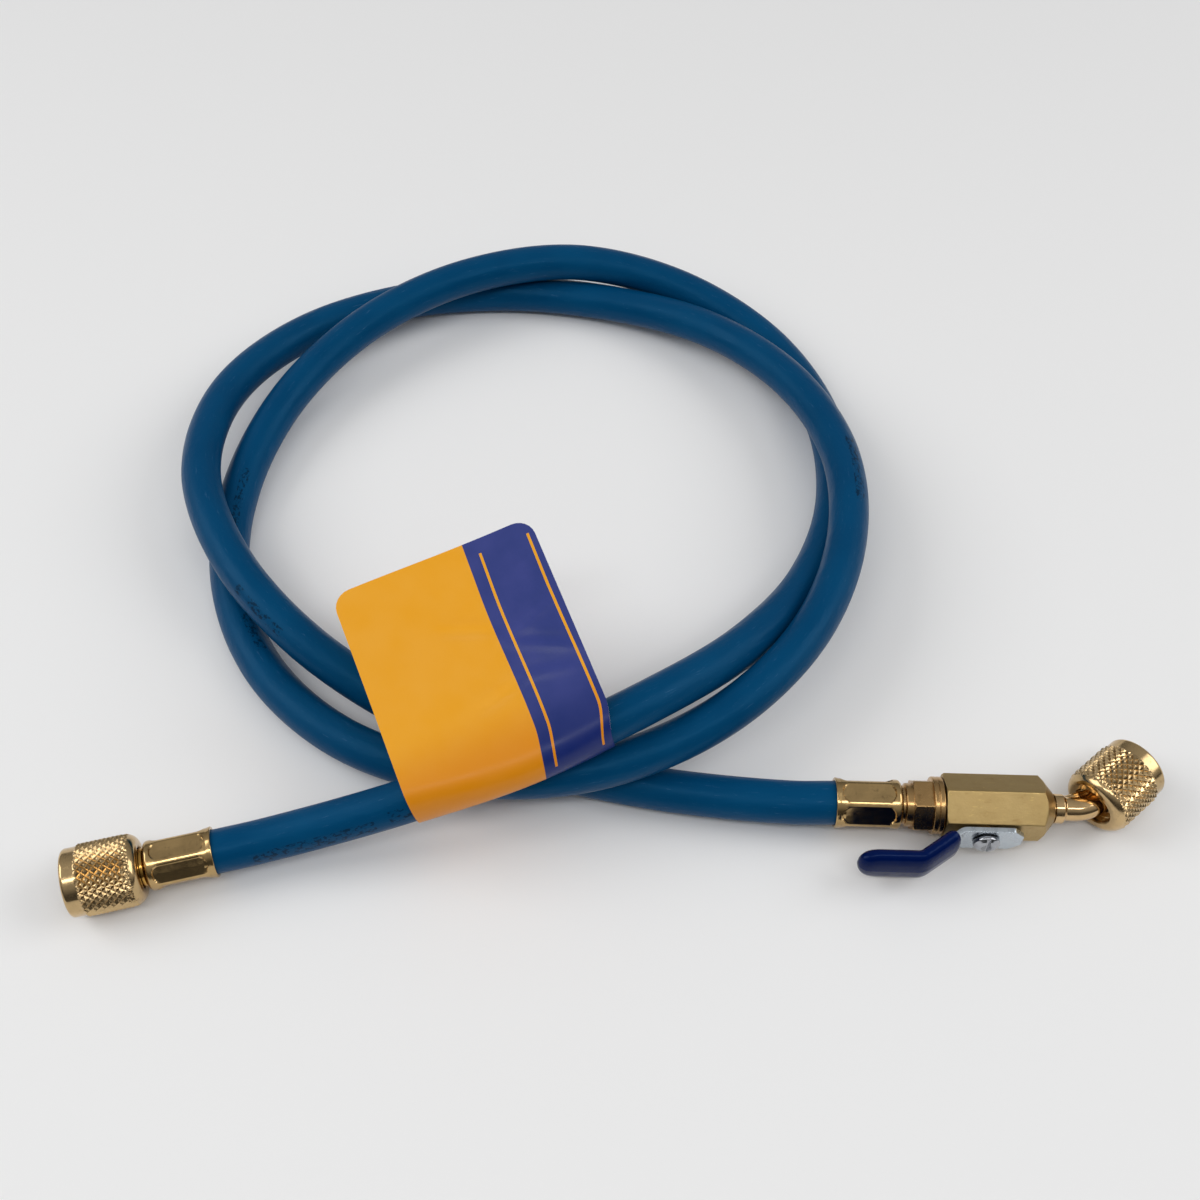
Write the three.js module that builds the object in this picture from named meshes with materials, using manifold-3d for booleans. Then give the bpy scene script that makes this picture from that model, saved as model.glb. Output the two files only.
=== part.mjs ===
// Refrigerant charging hose with a straight coupler at one end and a ball valve with an angled coupler
// at the other. Millimetres, +Z up. The hose lies on the floor z = 0 in two loose loops, the valve's axis
// runs along +X with its outlet to the right, and +Y leads from the fittings towards the loops.
import * as THREE from 'three';
import { mergeVertices } from 'three/addons/utils/BufferGeometryUtils.js';
import Module from 'manifold-3d';

const wasm = await Module();
wasm.setup();

// Running and seating gaps, how far joined shapes reach into each other, and how far a cut runs past
const SEAT_GAP = 0.3;
const RUNNING_GAP = 0.35;
const JOIN_OVERLAP = 0.2;
const OVERCUT = 1;

// Hose jacket
const HOSE_DIAMETER = 11.6;
const HOSE_SIDES = 12;
const HOSE_STEPS = 78;

// Coupler nut: a turned brass nut with a knurled middle, threaded 7/16-20 inside its open end, with a
// relief behind the thread for the washer and the stem's head
const NUT_LENGTH = 19.0;
const NUT_KNURL_DIAMETER = 18.9;
const NUT_NOSE_DIAMETER = 17.8;
const NUT_NOSE_LENGTH = 3.8;
const NUT_NOSE_CHAMFER = 0.5;
const NUT_SHOULDER_LENGTH = 3.8;
const NUT_BACK_DIAMETER = 13.4;
const NUT_THREAD_MINOR = 9.9;
const NUT_THREAD_MOUTH = 11.5;
const NUT_THREAD_END = 6.8;
const NUT_RELIEF_DIAMETER = 10.6;
const NUT_BORE_DEPTH = 13.2;
const NUT_WEB_THICKNESS = 3.3;
const NUT_RECESS_DIAMETER = 10.8;
const NUT_SEGMENTS = 36;
const SMALL_SEGMENTS = 24;

// Stem head that holds the nut, and the rubber washer in front of it
const HEAD_THICKNESS = 3.2;
const SHANK_DIAMETER = 6.35;
const FLOW_BORE = 3.0;
const WASHER_THICKNESS = 2.3;
const WASHER_BORE = 4.4;

// Crimped ferrule over the end of the hose
const FERRULE_LENGTH = 17.3;
const FERRULE_DIAMETER = 13.0;
const FERRULE_MOUTH_DIAMETER = 13.3;
const FERRULE_MOUTH_LENGTH = 1.4;
const FERRULE_FLATS = 12.0;
const FERRULE_WINDOW_START = 1.9;
const FERRULE_WINDOW_END = 1.0;
const FERRULE_ROUND = 0.9;
const BARB_DIAMETER = 5.0;

// Straight end: where its open face stands, and which way its axis runs into the hose
const STRAIGHT_FACE_X = -141.50;
const STRAIGHT_FACE_Y = -20.19;
const STRAIGHT_TURN = THREE.MathUtils.degToRad(15.4);
const STRAIGHT_NECK_GAP = 1.3;
const STRAIGHT_COLLAR_DIAMETER = 10.0;
const STRAIGHT_CRIMP_ROLL = THREE.MathUtils.degToRad(11);

// Valve end: the ferrule's mouth, then the adapter, the hexagonal body and the bent outlet tube
const VALVE_X = 55.84;
const VALVE_Y = 8.74;
const ADAPTER_NECK_DIAMETER = 10.2;
const ADAPTER_NECK_LENGTH = 0.7;
const ADAPTER_RING_DIAMETER = 11.4;
const ADAPTER_RING_LENGTH = 1.9;
const ADAPTER_HEX_FLATS = 12.7;
const ADAPTER_HEX_LENGTH = 5.1;
const ADAPTER_HEX_CHAMFER = 0.45;
const ADAPTER_FLANGE_DIAMETER = 15.2;
const ADAPTER_FLANGE_LENGTH = 2.85;
const ADAPTER_SPIGOT_DIAMETER = 8.0;
const ADAPTER_SPIGOT_LENGTH = 4.6;
const BODY_FLATS = 15.0;
const BODY_LENGTH = 25.15;
const BODY_CONE_LENGTH = 3.75;
const BODY_CONE_END_DIAMETER = 8.2;
const BODY_CORNER_CHAMFER = 0.5;
const BALL_OFFSET = 10.5;
const BALL_DIAMETER = 9.0;
const BALL_PORT_DIAMETER = 3.8;
const BALL_SEGMENTS = [20, 12];
const PORT_DIAMETER = 4.8;
const BALL_SEAT_DIAMETER = 8.0;
const BALL_SEAT_THICKNESS = 1.15;
const BALL_SEAT_SINK = 0.35;
const SHAFT_DIAMETER = 4.6;
const SHAFT_TANG_DEPTH = 1.2;
const SHAFT_TANG_WIDTH = 1.6;
const SHAFT_TANG_HEIGHT = 4.0;

// Outlet tube
const TUBE_ROOT_DIAMETER = 7.8;
const TUBE_ROOT_LENGTH = 2.6;
const TUBE_ROOT_CHAMFER = 0.3;
const TUBE_LEAD = 2.97;
const TUBE_BEND_RADIUS = 11.0;
const TUBE_BEND = THREE.MathUtils.degToRad(42);
const TUBE_TAIL = 3.23;
const TUBE_SOCKET_DEPTH = 3.0;
const TUBE_STEPS = 13;
const TUBE_CURVE_SEGMENTS = 9;
const DEPRESSOR_DIAMETER = 1.8;
const DEPRESSOR_LENGTH = 6.2;
const DEPRESSOR_FIN = 0.6;

// Lever: a bent steel strip on the ball's shaft, dipped in vinyl along its outer part
const PLATE_THICKNESS = 1.5;
const PLATE_WIDTH = 9.5;
const PLATE_STAND_OFF = 0.8;
const PLATE_TAIL = 9.4;
const PLATE_CORNER = 2.6;
const LEVER_BEND_START = 6.4;
const LEVER_BEND_RUN = 11.0;
const LEVER_BEND_RISE = 8.0;
const LEVER_REACH = 33.95;
const GRIP_START = 8.2;
const GRIP_WALL = 0.9;
const GRIP_POCKET_GAP = 0.3;
const SCREW_HEAD_DIAMETER = 7.0;
const SCREW_HEAD_HEIGHT = 2.2;
const SCREW_DOME = [[1.0, 3.5], [1.8, 2.5], [SCREW_HEAD_HEIGHT, 1.2]];
const SCREW_SHANK_DIAMETER = 2.8;
const SCREW_SHANK_LENGTH = 5.0;
const SCREW_SLOT_WIDTH = 1.0;
const SCREW_SLOT_DEPTH = 0.9;
const SCREW_SLOT_TURN = Math.PI / 2;

// Paper tag folded round the hose, its two leaves lying together behind it
const TAG_WIDTH = 56.1;
const TAG_HEIGHT = 59.1;
const TAG_PAPER = 0.4;
const TAG_LEAF_GAP = 0.3;
const TAG_HOSE_GAP = 0.65;
const TAG_ALONG = 81.4;
const TAG_TURN = THREE.MathUtils.degToRad(22.2);
const TAG_RISE = THREE.MathUtils.degToRad(9.9);
const TAG_TILT = THREE.MathUtils.degToRad(12.0);
const TAG_JOIN = 17.0;
const TAG_JOIN_EASE = 0.5;
const TAG_CORNER = 5.0;
const TAG_CORNER_STEPS = 3;
const TAG_MIDDLE_SECTIONS = 5;
const TAG_WRAP_STEPS = 12;
const TAG_SEARCH_STEPS = 1000;
const TAG_SEARCH_SHARE = 0.15;

// The nuts are the widest turned parts, so the fittings lie with their axes at a nut's radius
const AXIS_Z = NUT_KNURL_DIAMETER / 2;

// Points of the hose's centre line, from the straight end to the valve
const STRAIGHT_LENGTH = NUT_LENGTH + STRAIGHT_NECK_GAP + FERRULE_LENGTH + SEAT_GAP;
const HOSE_START_X = STRAIGHT_FACE_X + STRAIGHT_LENGTH * Math.cos(STRAIGHT_TURN);
const HOSE_START_Y = STRAIGHT_FACE_Y + STRAIGHT_LENGTH * Math.sin(STRAIGHT_TURN);
const ROUTE = [
  [HOSE_START_X, HOSE_START_Y, AXIS_Z],
  [-91.9, -6.5, 9.8],
  [-57.9, 0.6, 18.3],
  [-24.9, 9.1, 28.6],
  [6.6, 26.6, 29.6],
  [32.6, 50.1, 21.9],
  [52.1, 79.1, 13.1],
  [62.6, 113.1, 7.8],
  [60.6, 148.6, 6.0],
  [44.1, 180.1, 7.0],
  [15.1, 200.6, 11.3],
  [-19.4, 205.6, 17.0],
  [-54.4, 196.6, 18.4],
  [-84.9, 177.6, 16.1],
  [-107.4, 150.1, 11.7],
  [-118.9, 116.6, 7.7],
  [-117.9, 81.1, 5.9],
  [-102.9, 48.6, 6.2],
  [-76.4, 24.6, 8.6],
  [-42.9, 12.6, 12.4],
  [-7.4, 12.6, 17.6],
  [25.1, 27.1, 20.9],
  [49.6, 53.1, 22.1],
  [62.6, 86.6, 21.3],
  [63.1, 122.1, 19.1],
  [49.6, 155.1, 15.8],
  [24.6, 180.6, 12.0],
  [-7.4, 196.1, 7.6],
  [-42.9, 201.6, 5.9],
  [-77.9, 195.6, 6.9],
  [-108.4, 176.6, 10.1],
  [-127.4, 146.6, 14.3],
  [-129.4, 111.1, 17.6],
  [-114.9, 78.6, 17.7],
  [-90.4, 52.6, 14.2],
  [-59.9, 34.1, 9.2],
  [-26.4, 21.1, 6.1],
  [8.6, 13.1, 6.7],
  [44.1, 8.6, 9.3],
  [VALVE_X - SEAT_GAP, VALVE_Y, AXIS_Z],
];

const brass = { color: 0xb08a4c, roughness: 0.32, metalness: 1 };
const satinBrass = { color: 0xb59a63, roughness: 0.45, metalness: 1 };
const polishedBrass = { color: 0x9a7440, roughness: 0.2, metalness: 1 };
const rubber = { color: 0x1b1b1c, roughness: 0.85, metalness: 0 };

function toManifold(geometry) {
  const bare = geometry.clone();
  bare.deleteAttribute('normal');
  bare.deleteAttribute('uv');
  const merged = mergeVertices(bare, 1e-4);
  return new wasm.Manifold(new wasm.Mesh({
    numProp: 3,
    vertProperties: new Float32Array(merged.attributes.position.array),
    triVerts: new Uint32Array(merged.index.array),
  }));
}

function toGeometry(solid) {
  const mesh = solid.getMesh();
  const geometry = new THREE.BufferGeometry();
  geometry.setAttribute('position', new THREE.BufferAttribute(new Float32Array(mesh.vertProperties), 3));
  geometry.setIndex(new THREE.BufferAttribute(new Uint32Array(mesh.triVerts), 1));
  geometry.computeVertexNormals();
  return geometry;
}

// A body turned about the X axis from an outline of [along, radius] points
function turned(outline, segments = NUT_SEGMENTS) {
  const points = outline.map(([along, radius]) => new THREE.Vector2(radius, along));
  if (THREE.ShapeUtils.area(points) < 0) points.reverse();
  const hollow = points[0].x > 0;
  if (hollow) points.push(points[0].clone());
  const geometry = new THREE.LatheGeometry(points, segments);
  geometry.rotateZ(-Math.PI / 2);
  return geometry;
}

function rod(start, end, diameter, segments = SMALL_SEGMENTS) {
  return turned([[start, 0], [start, diameter / 2], [end, diameter / 2], [end, 0]], segments);
}

// A hexagonal bar along X with two corners up and down, or two flats when it is rolled by FLATS_UP
const FLATS_UP = Math.PI / 6;
function hexBar(start, end, flats, roll) {
  const geometry = new THREE.CylinderGeometry(flats / Math.sqrt(3), flats / Math.sqrt(3), end - start, 6);
  geometry.rotateZ(-Math.PI / 2);
  geometry.rotateX(roll);
  geometry.translate((start + end) / 2, 0, 0);
  return geometry;
}

function mesh(name, geometry, finish) {
  const piece = new THREE.Mesh(geometry, new THREE.MeshStandardMaterial(finish));
  piece.name = name;
  return piece;
}

// The coupler nut, its open face at x = 0 and its body towards +X
function couplerNut(name) {
  const recessStart = NUT_BORE_DEPTH + NUT_WEB_THICKNESS;
  const webBore = (SHANK_DIAMETER + 2 * RUNNING_GAP) / 2;
  const shoulderStart = NUT_LENGTH - NUT_SHOULDER_LENGTH;
  const knurlRadius = NUT_KNURL_DIAMETER / 2;
  const backRadius = NUT_BACK_DIAMETER / 2;
  const outline = [
    [0, NUT_THREAD_MOUTH / 2],
    [(NUT_THREAD_MOUTH - NUT_THREAD_MINOR) / 2, NUT_THREAD_MINOR / 2],
    [NUT_THREAD_END, NUT_THREAD_MINOR / 2],
    [NUT_THREAD_END, NUT_RELIEF_DIAMETER / 2],
    [NUT_BORE_DEPTH, NUT_RELIEF_DIAMETER / 2],
    [NUT_BORE_DEPTH, webBore],
    [recessStart, webBore],
    [recessStart, NUT_RECESS_DIAMETER / 2],
    [NUT_LENGTH, NUT_RECESS_DIAMETER / 2],
    [NUT_LENGTH, backRadius],
  ];
  const roundSteps = 4;
  for (let i = 1; i < roundSteps; i++) {
    const turn = (i / roundSteps) * Math.PI / 2;
    outline.push([
      NUT_LENGTH - NUT_SHOULDER_LENGTH * (1 - Math.cos(turn)),
      backRadius + (knurlRadius - backRadius) * Math.sin(turn),
    ]);
  }
  outline.push(
    [shoulderStart, knurlRadius],
    [NUT_NOSE_LENGTH + (NUT_KNURL_DIAMETER - NUT_NOSE_DIAMETER) / 2, knurlRadius],
    [NUT_NOSE_LENGTH, NUT_NOSE_DIAMETER / 2],
    [NUT_NOSE_CHAMFER, NUT_NOSE_DIAMETER / 2],
    [0, NUT_NOSE_DIAMETER / 2 - NUT_NOSE_CHAMFER],
  );
  return mesh(name, turned(outline), brass);
}

const HEAD_END = NUT_BORE_DEPTH - SEAT_GAP;
const HEAD_START = HEAD_END - HEAD_THICKNESS;
const HEAD_DIAMETER = NUT_THREAD_MINOR - 2 * RUNNING_GAP;

// The rubber washer in the nut, in front of the stem's head
function washer(name) {
  const end = HEAD_START - SEAT_GAP;
  const outline = [
    [end - WASHER_THICKNESS, WASHER_BORE / 2],
    [end, WASHER_BORE / 2],
    [end, HEAD_DIAMETER / 2],
    [end - WASHER_THICKNESS, HEAD_DIAMETER / 2],
  ];
  return mesh(name, turned(outline, SMALL_SEGMENTS), rubber);
}

// The crimped ferrule, its plain end at x = 0 and its mouth, where the hose enters, towards +X
function crimpedFerrule(name, roll) {
  const radius = FERRULE_DIAMETER / 2;
  const mouthStart = FERRULE_LENGTH - FERRULE_MOUTH_LENGTH;
  const bore = BARB_DIAMETER / 2 + SEAT_GAP;
  const outline = [[0, bore], [FERRULE_LENGTH, bore], [FERRULE_LENGTH, FERRULE_MOUTH_DIAMETER / 2]];
  outline.push([mouthStart, radius], [FERRULE_ROUND, radius]);
  const roundSteps = 4;
  for (let i = 1; i <= roundSteps; i++) {
    const turn = (i / roundSteps) * Math.PI / 2;
    outline.push([FERRULE_ROUND * (1 - Math.sin(turn)), radius - FERRULE_ROUND * (1 - Math.cos(turn))]);
  }
  let solid = toManifold(turned(outline));
  const windowLength = mouthStart - FERRULE_WINDOW_START - FERRULE_WINDOW_END;
  for (let side = 0; side < 6; side++) {
    const cutter = new THREE.BoxGeometry(windowLength, FERRULE_DIAMETER, FERRULE_DIAMETER);
    cutter.translate(
      FERRULE_WINDOW_START + windowLength / 2,
      0,
      FERRULE_FLATS / 2 + FERRULE_DIAMETER / 2,
    );
    cutter.rotateX(roll + side * Math.PI / 3);
    solid = solid.subtract(toManifold(cutter));
  }
  return mesh(name, toGeometry(solid), polishedBrass);
}

// Straight end, built along +X from the nut's open face and then turned into place
const straightEnd = new THREE.Group();
straightEnd.position.set(STRAIGHT_FACE_X, STRAIGHT_FACE_Y, AXIS_Z);
straightEnd.rotation.z = STRAIGHT_TURN;
{
  const ferruleStart = NUT_LENGTH + STRAIGHT_NECK_GAP;
  const collarStart = NUT_BORE_DEPTH + NUT_WEB_THICKNESS + SEAT_GAP;
  const collarEnd = ferruleStart - SEAT_GAP;
  const shank = SHANK_DIAMETER / 2;
  const stem = turned([
    [HEAD_START, FLOW_BORE / 2],
    [ferruleStart + FERRULE_LENGTH, FLOW_BORE / 2],
    [ferruleStart + FERRULE_LENGTH, BARB_DIAMETER / 2],
    [collarEnd, BARB_DIAMETER / 2],
    [collarEnd, STRAIGHT_COLLAR_DIAMETER / 2],
    [collarStart, STRAIGHT_COLLAR_DIAMETER / 2],
    [collarStart, shank],
    [HEAD_END, shank],
    [HEAD_END, HEAD_DIAMETER / 2],
    [HEAD_START, HEAD_DIAMETER / 2],
  ], SMALL_SEGMENTS);
  const ferrule = crimpedFerrule('straight_ferrule', STRAIGHT_CRIMP_ROLL);
  ferrule.position.x = ferruleStart;
  straightEnd.add(
    couplerNut('straight_nut'),
    mesh('straight_stem', stem, brass),
    washer('straight_washer'),
    ferrule,
  );
}

// Valve end, built along +X from the ferrule's mouth
const valveEnd = new THREE.Group();
valveEnd.position.set(VALVE_X, VALVE_Y, AXIS_Z);
const ADAPTER_START = FERRULE_LENGTH + SEAT_GAP;
const FLANGE_END = ADAPTER_START + ADAPTER_NECK_LENGTH + ADAPTER_RING_LENGTH
  + ADAPTER_HEX_LENGTH + ADAPTER_FLANGE_LENGTH;
const BODY_START = FLANGE_END + SEAT_GAP;
const BODY_HEX_END = BODY_START + BODY_LENGTH;
const BODY_END = BODY_HEX_END + BODY_CONE_LENGTH;
const BALL_X = BODY_START + BALL_OFFSET;
{
  const ferrule = crimpedFerrule('valve_ferrule', 0);
  ferrule.position.x = FERRULE_LENGTH;
  ferrule.rotation.y = Math.PI;
  valveEnd.add(ferrule);
}
{
  // The adapter: a barb inside the ferrule, a neck and ring, a small hexagon, a flange and a spigot
  const ringStart = ADAPTER_START + ADAPTER_NECK_LENGTH;
  const hexStart = ringStart + ADAPTER_RING_LENGTH;
  const hexEnd = hexStart + ADAPTER_HEX_LENGTH;
  const barb = BARB_DIAMETER / 2;
  const hexCorner = ADAPTER_HEX_FLATS / Math.sqrt(3);
  const shell = toManifold(turned([
    [0, FLOW_BORE / 2],
    [FLANGE_END + ADAPTER_SPIGOT_LENGTH, FLOW_BORE / 2],
    [FLANGE_END + ADAPTER_SPIGOT_LENGTH, ADAPTER_SPIGOT_DIAMETER / 2],
    [FLANGE_END, ADAPTER_SPIGOT_DIAMETER / 2],
    [FLANGE_END, ADAPTER_FLANGE_DIAMETER / 2],
    [hexEnd, ADAPTER_FLANGE_DIAMETER / 2],
    [hexEnd, hexCorner],
    [hexStart + ADAPTER_HEX_CHAMFER, hexCorner],
    [hexStart, hexCorner - ADAPTER_HEX_CHAMFER],
    [hexStart, ADAPTER_RING_DIAMETER / 2],
    [ringStart, ADAPTER_RING_DIAMETER / 2],
    [ringStart, ADAPTER_NECK_DIAMETER / 2],
    [ADAPTER_START, ADAPTER_NECK_DIAMETER / 2],
    [ADAPTER_START, barb],
    [0, barb],
  ]));
  const hexSleeve = toManifold(rod(hexStart, hexEnd, 4 * hexCorner))
    .subtract(toManifold(hexBar(hexStart - OVERCUT, hexEnd + OVERCUT, ADAPTER_HEX_FLATS, FLATS_UP)));
  valveEnd.add(mesh('hose_adapter', toGeometry(shell.subtract(hexSleeve)), polishedBrass));
}
{
  // The valve body: a hexagonal bar with a turned cone, bored for the adapter, the ball and the tube
  const corner = BODY_FLATS / Math.sqrt(3);
  const envelope = toManifold(turned([
    [BODY_END, 0],
    [BODY_END, BODY_CONE_END_DIAMETER / 2],
    [BODY_HEX_END, corner],
    [BODY_START + BODY_CORNER_CHAMFER, corner],
    [BODY_START, corner - BODY_CORNER_CHAMFER],
    [BODY_START, 0],
  ]));
  const entryRadius = ADAPTER_SPIGOT_DIAMETER / 2 + SEAT_GAP;
  const seatStart = BALL_DIAMETER / 2 - BALL_SEAT_SINK;
  const entryEnd = BALL_X + seatStart + BALL_SEAT_THICKNESS + SEAT_GAP;
  const ballRoom = new THREE.SphereGeometry(BALL_DIAMETER / 2 + SEAT_GAP, ...BALL_SEGMENTS);
  ballRoom.translate(BALL_X, 0, 0);
  const shaftRoom = rod(0, BODY_FLATS, SHAFT_DIAMETER + 2 * RUNNING_GAP);
  shaftRoom.rotateZ(-Math.PI / 2);
  shaftRoom.translate(BALL_X, 0, 0);
  let body = toManifold(hexBar(BODY_START - OVERCUT, BODY_END + OVERCUT, BODY_FLATS, 0)).intersect(envelope);
  body = body.subtract(toManifold(rod(BODY_START - OVERCUT, entryEnd, 2 * entryRadius)));
  body = body.subtract(toManifold(rod(BALL_X, BODY_END + OVERCUT, PORT_DIAMETER)));
  body = body.subtract(toManifold(rod(
    BODY_END - TUBE_SOCKET_DEPTH,
    BODY_END + OVERCUT,
    SHANK_DIAMETER + 2 * SEAT_GAP,
  )));
  body = body.subtract(toManifold(ballRoom)).subtract(toManifold(shaftRoom));
  valveEnd.add(mesh('valve_body', toGeometry(body), satinBrass));

  // The two seats that the ball turns between
  for (const [name, side] of [['ball_seat_inlet', -1], ['ball_seat_outlet', 1]]) {
    const near = side > 0 ? seatStart : -seatStart - BALL_SEAT_THICKNESS;
    const seat = turned([
      [near, PORT_DIAMETER / 2],
      [near + BALL_SEAT_THICKNESS, PORT_DIAMETER / 2],
      [near + BALL_SEAT_THICKNESS, BALL_SEAT_DIAMETER / 2],
      [near, BALL_SEAT_DIAMETER / 2],
    ], SMALL_SEGMENTS);
    seat.translate(BALL_X, 0, 0);
    valveEnd.add(mesh(name, seat, { color: 0xf2f0ea, roughness: 0.5, metalness: 0 }));
  }
}

// What turns with the lever, built about the ball's centre: x along the valve, y across it
const turning = new THREE.Group();
turning.position.x = BALL_X;
const SHAFT_REACH = BODY_FLATS / 2 + PLATE_STAND_OFF;
const PLATE_MIDDLE = SHAFT_REACH + PLATE_THICKNESS / 2;
const TANG_REACH = BALL_DIAMETER / 2 - SHAFT_TANG_DEPTH;
{
  // The ball, bored through and slotted for the shaft's tang
  const ballSolid = toManifold(new THREE.SphereGeometry(BALL_DIAMETER / 2, ...BALL_SEGMENTS));
  const slot = new THREE.BoxGeometry(BALL_DIAMETER, 2 * SHAFT_TANG_DEPTH, SHAFT_TANG_WIDTH + 2 * SEAT_GAP);
  slot.translate(0, -(TANG_REACH - SEAT_GAP) - SHAFT_TANG_DEPTH, 0);
  const port = toManifold(rod(-BALL_DIAMETER, BALL_DIAMETER, BALL_PORT_DIAMETER));
  const ball = ballSolid.subtract(port).subtract(toManifold(slot));
  turning.add(mesh('valve_ball', toGeometry(ball), { color: 0xc8ccd0, roughness: 0.12, metalness: 1 }));

  // The shaft, with a flat tang in the ball's slot and a threaded hole for the lever's screw
  const shoulder = BALL_DIAMETER / 2 + SEAT_GAP;
  const shaftTop = SHAFT_REACH - SEAT_GAP;
  const stub = rod(shoulder, shaftTop, SHAFT_DIAMETER);
  const tangEnd = shoulder + JOIN_OVERLAP;
  const tang = new THREE.BoxGeometry(tangEnd - TANG_REACH, SHAFT_TANG_WIDTH, SHAFT_TANG_HEIGHT);
  tang.translate((tangEnd + TANG_REACH) / 2, 0, 0);
  const screwHole = rod(
    SHAFT_REACH + PLATE_THICKNESS - SCREW_SHANK_LENGTH,
    shaftTop + OVERCUT,
    SCREW_SHANK_DIAMETER + 2 * SEAT_GAP,
  );
  tang.rotateX(Math.PI / 2);
  const shaft = toGeometry(toManifold(stub).add(toManifold(tang)).subtract(toManifold(screwHole)));
  shaft.rotateZ(-Math.PI / 2);
  turning.add(mesh('valve_shaft', shaft, brass));
}

// The lever's bent strip as a shape seen from above: thickness grows evenly about its middle line
function bentStrip(from, to, thickness) {
  const half = thickness / 2;
  const slope = Math.atan2(LEVER_BEND_RISE, LEVER_BEND_RUN);
  const miter = half * Math.tan(slope / 2);
  const bendEnd = LEVER_BEND_START + LEVER_BEND_RUN;
  const middle = -PLATE_MIDDLE;
  const outer = middle - LEVER_BEND_RISE;
  const shape = new THREE.Shape();
  const startsOnSlope = from > LEVER_BEND_START;
  if (startsOnSlope) {
    const startY = middle - (from - LEVER_BEND_START) * Math.tan(slope);
    shape.moveTo(-from - half * Math.sin(slope), startY + half * Math.cos(slope));
    shape.lineTo(-bendEnd + miter, outer + half);
    shape.lineTo(-to, outer + half);
    shape.lineTo(-to, outer - half);
    shape.lineTo(-bendEnd - miter, outer - half);
    shape.lineTo(-from + half * Math.sin(slope), startY - half * Math.cos(slope));
  } else {
    shape.moveTo(-from, middle + half);
    shape.lineTo(-LEVER_BEND_START - miter, middle + half);
    shape.lineTo(-bendEnd - miter, outer + half);
    shape.lineTo(-to, outer + half);
    shape.lineTo(-to, outer - half);
    shape.lineTo(-bendEnd + miter, outer - half);
    shape.lineTo(-LEVER_BEND_START + miter, middle - half);
    shape.lineTo(-from, middle - half);
  }
  shape.closePath();
  return shape;
}

function extrudedUp(shape, height) {
  const geometry = new THREE.ExtrudeGeometry(shape, { depth: height, bevelEnabled: false });
  geometry.translate(0, 0, -height / 2);
  return geometry;
}

// A prism across the lever from an outline in x and z, to trim the strip's ends
function trimPrism(outline) {
  const shape = new THREE.Shape(outline.map(([x, z]) => new THREE.Vector2(x, z)));
  const geometry = new THREE.ExtrudeGeometry(shape, { depth: 2 * LEVER_REACH, bevelEnabled: false });
  geometry.rotateX(Math.PI / 2);
  geometry.translate(0, LEVER_REACH, 0);
  return geometry;
}

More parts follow.
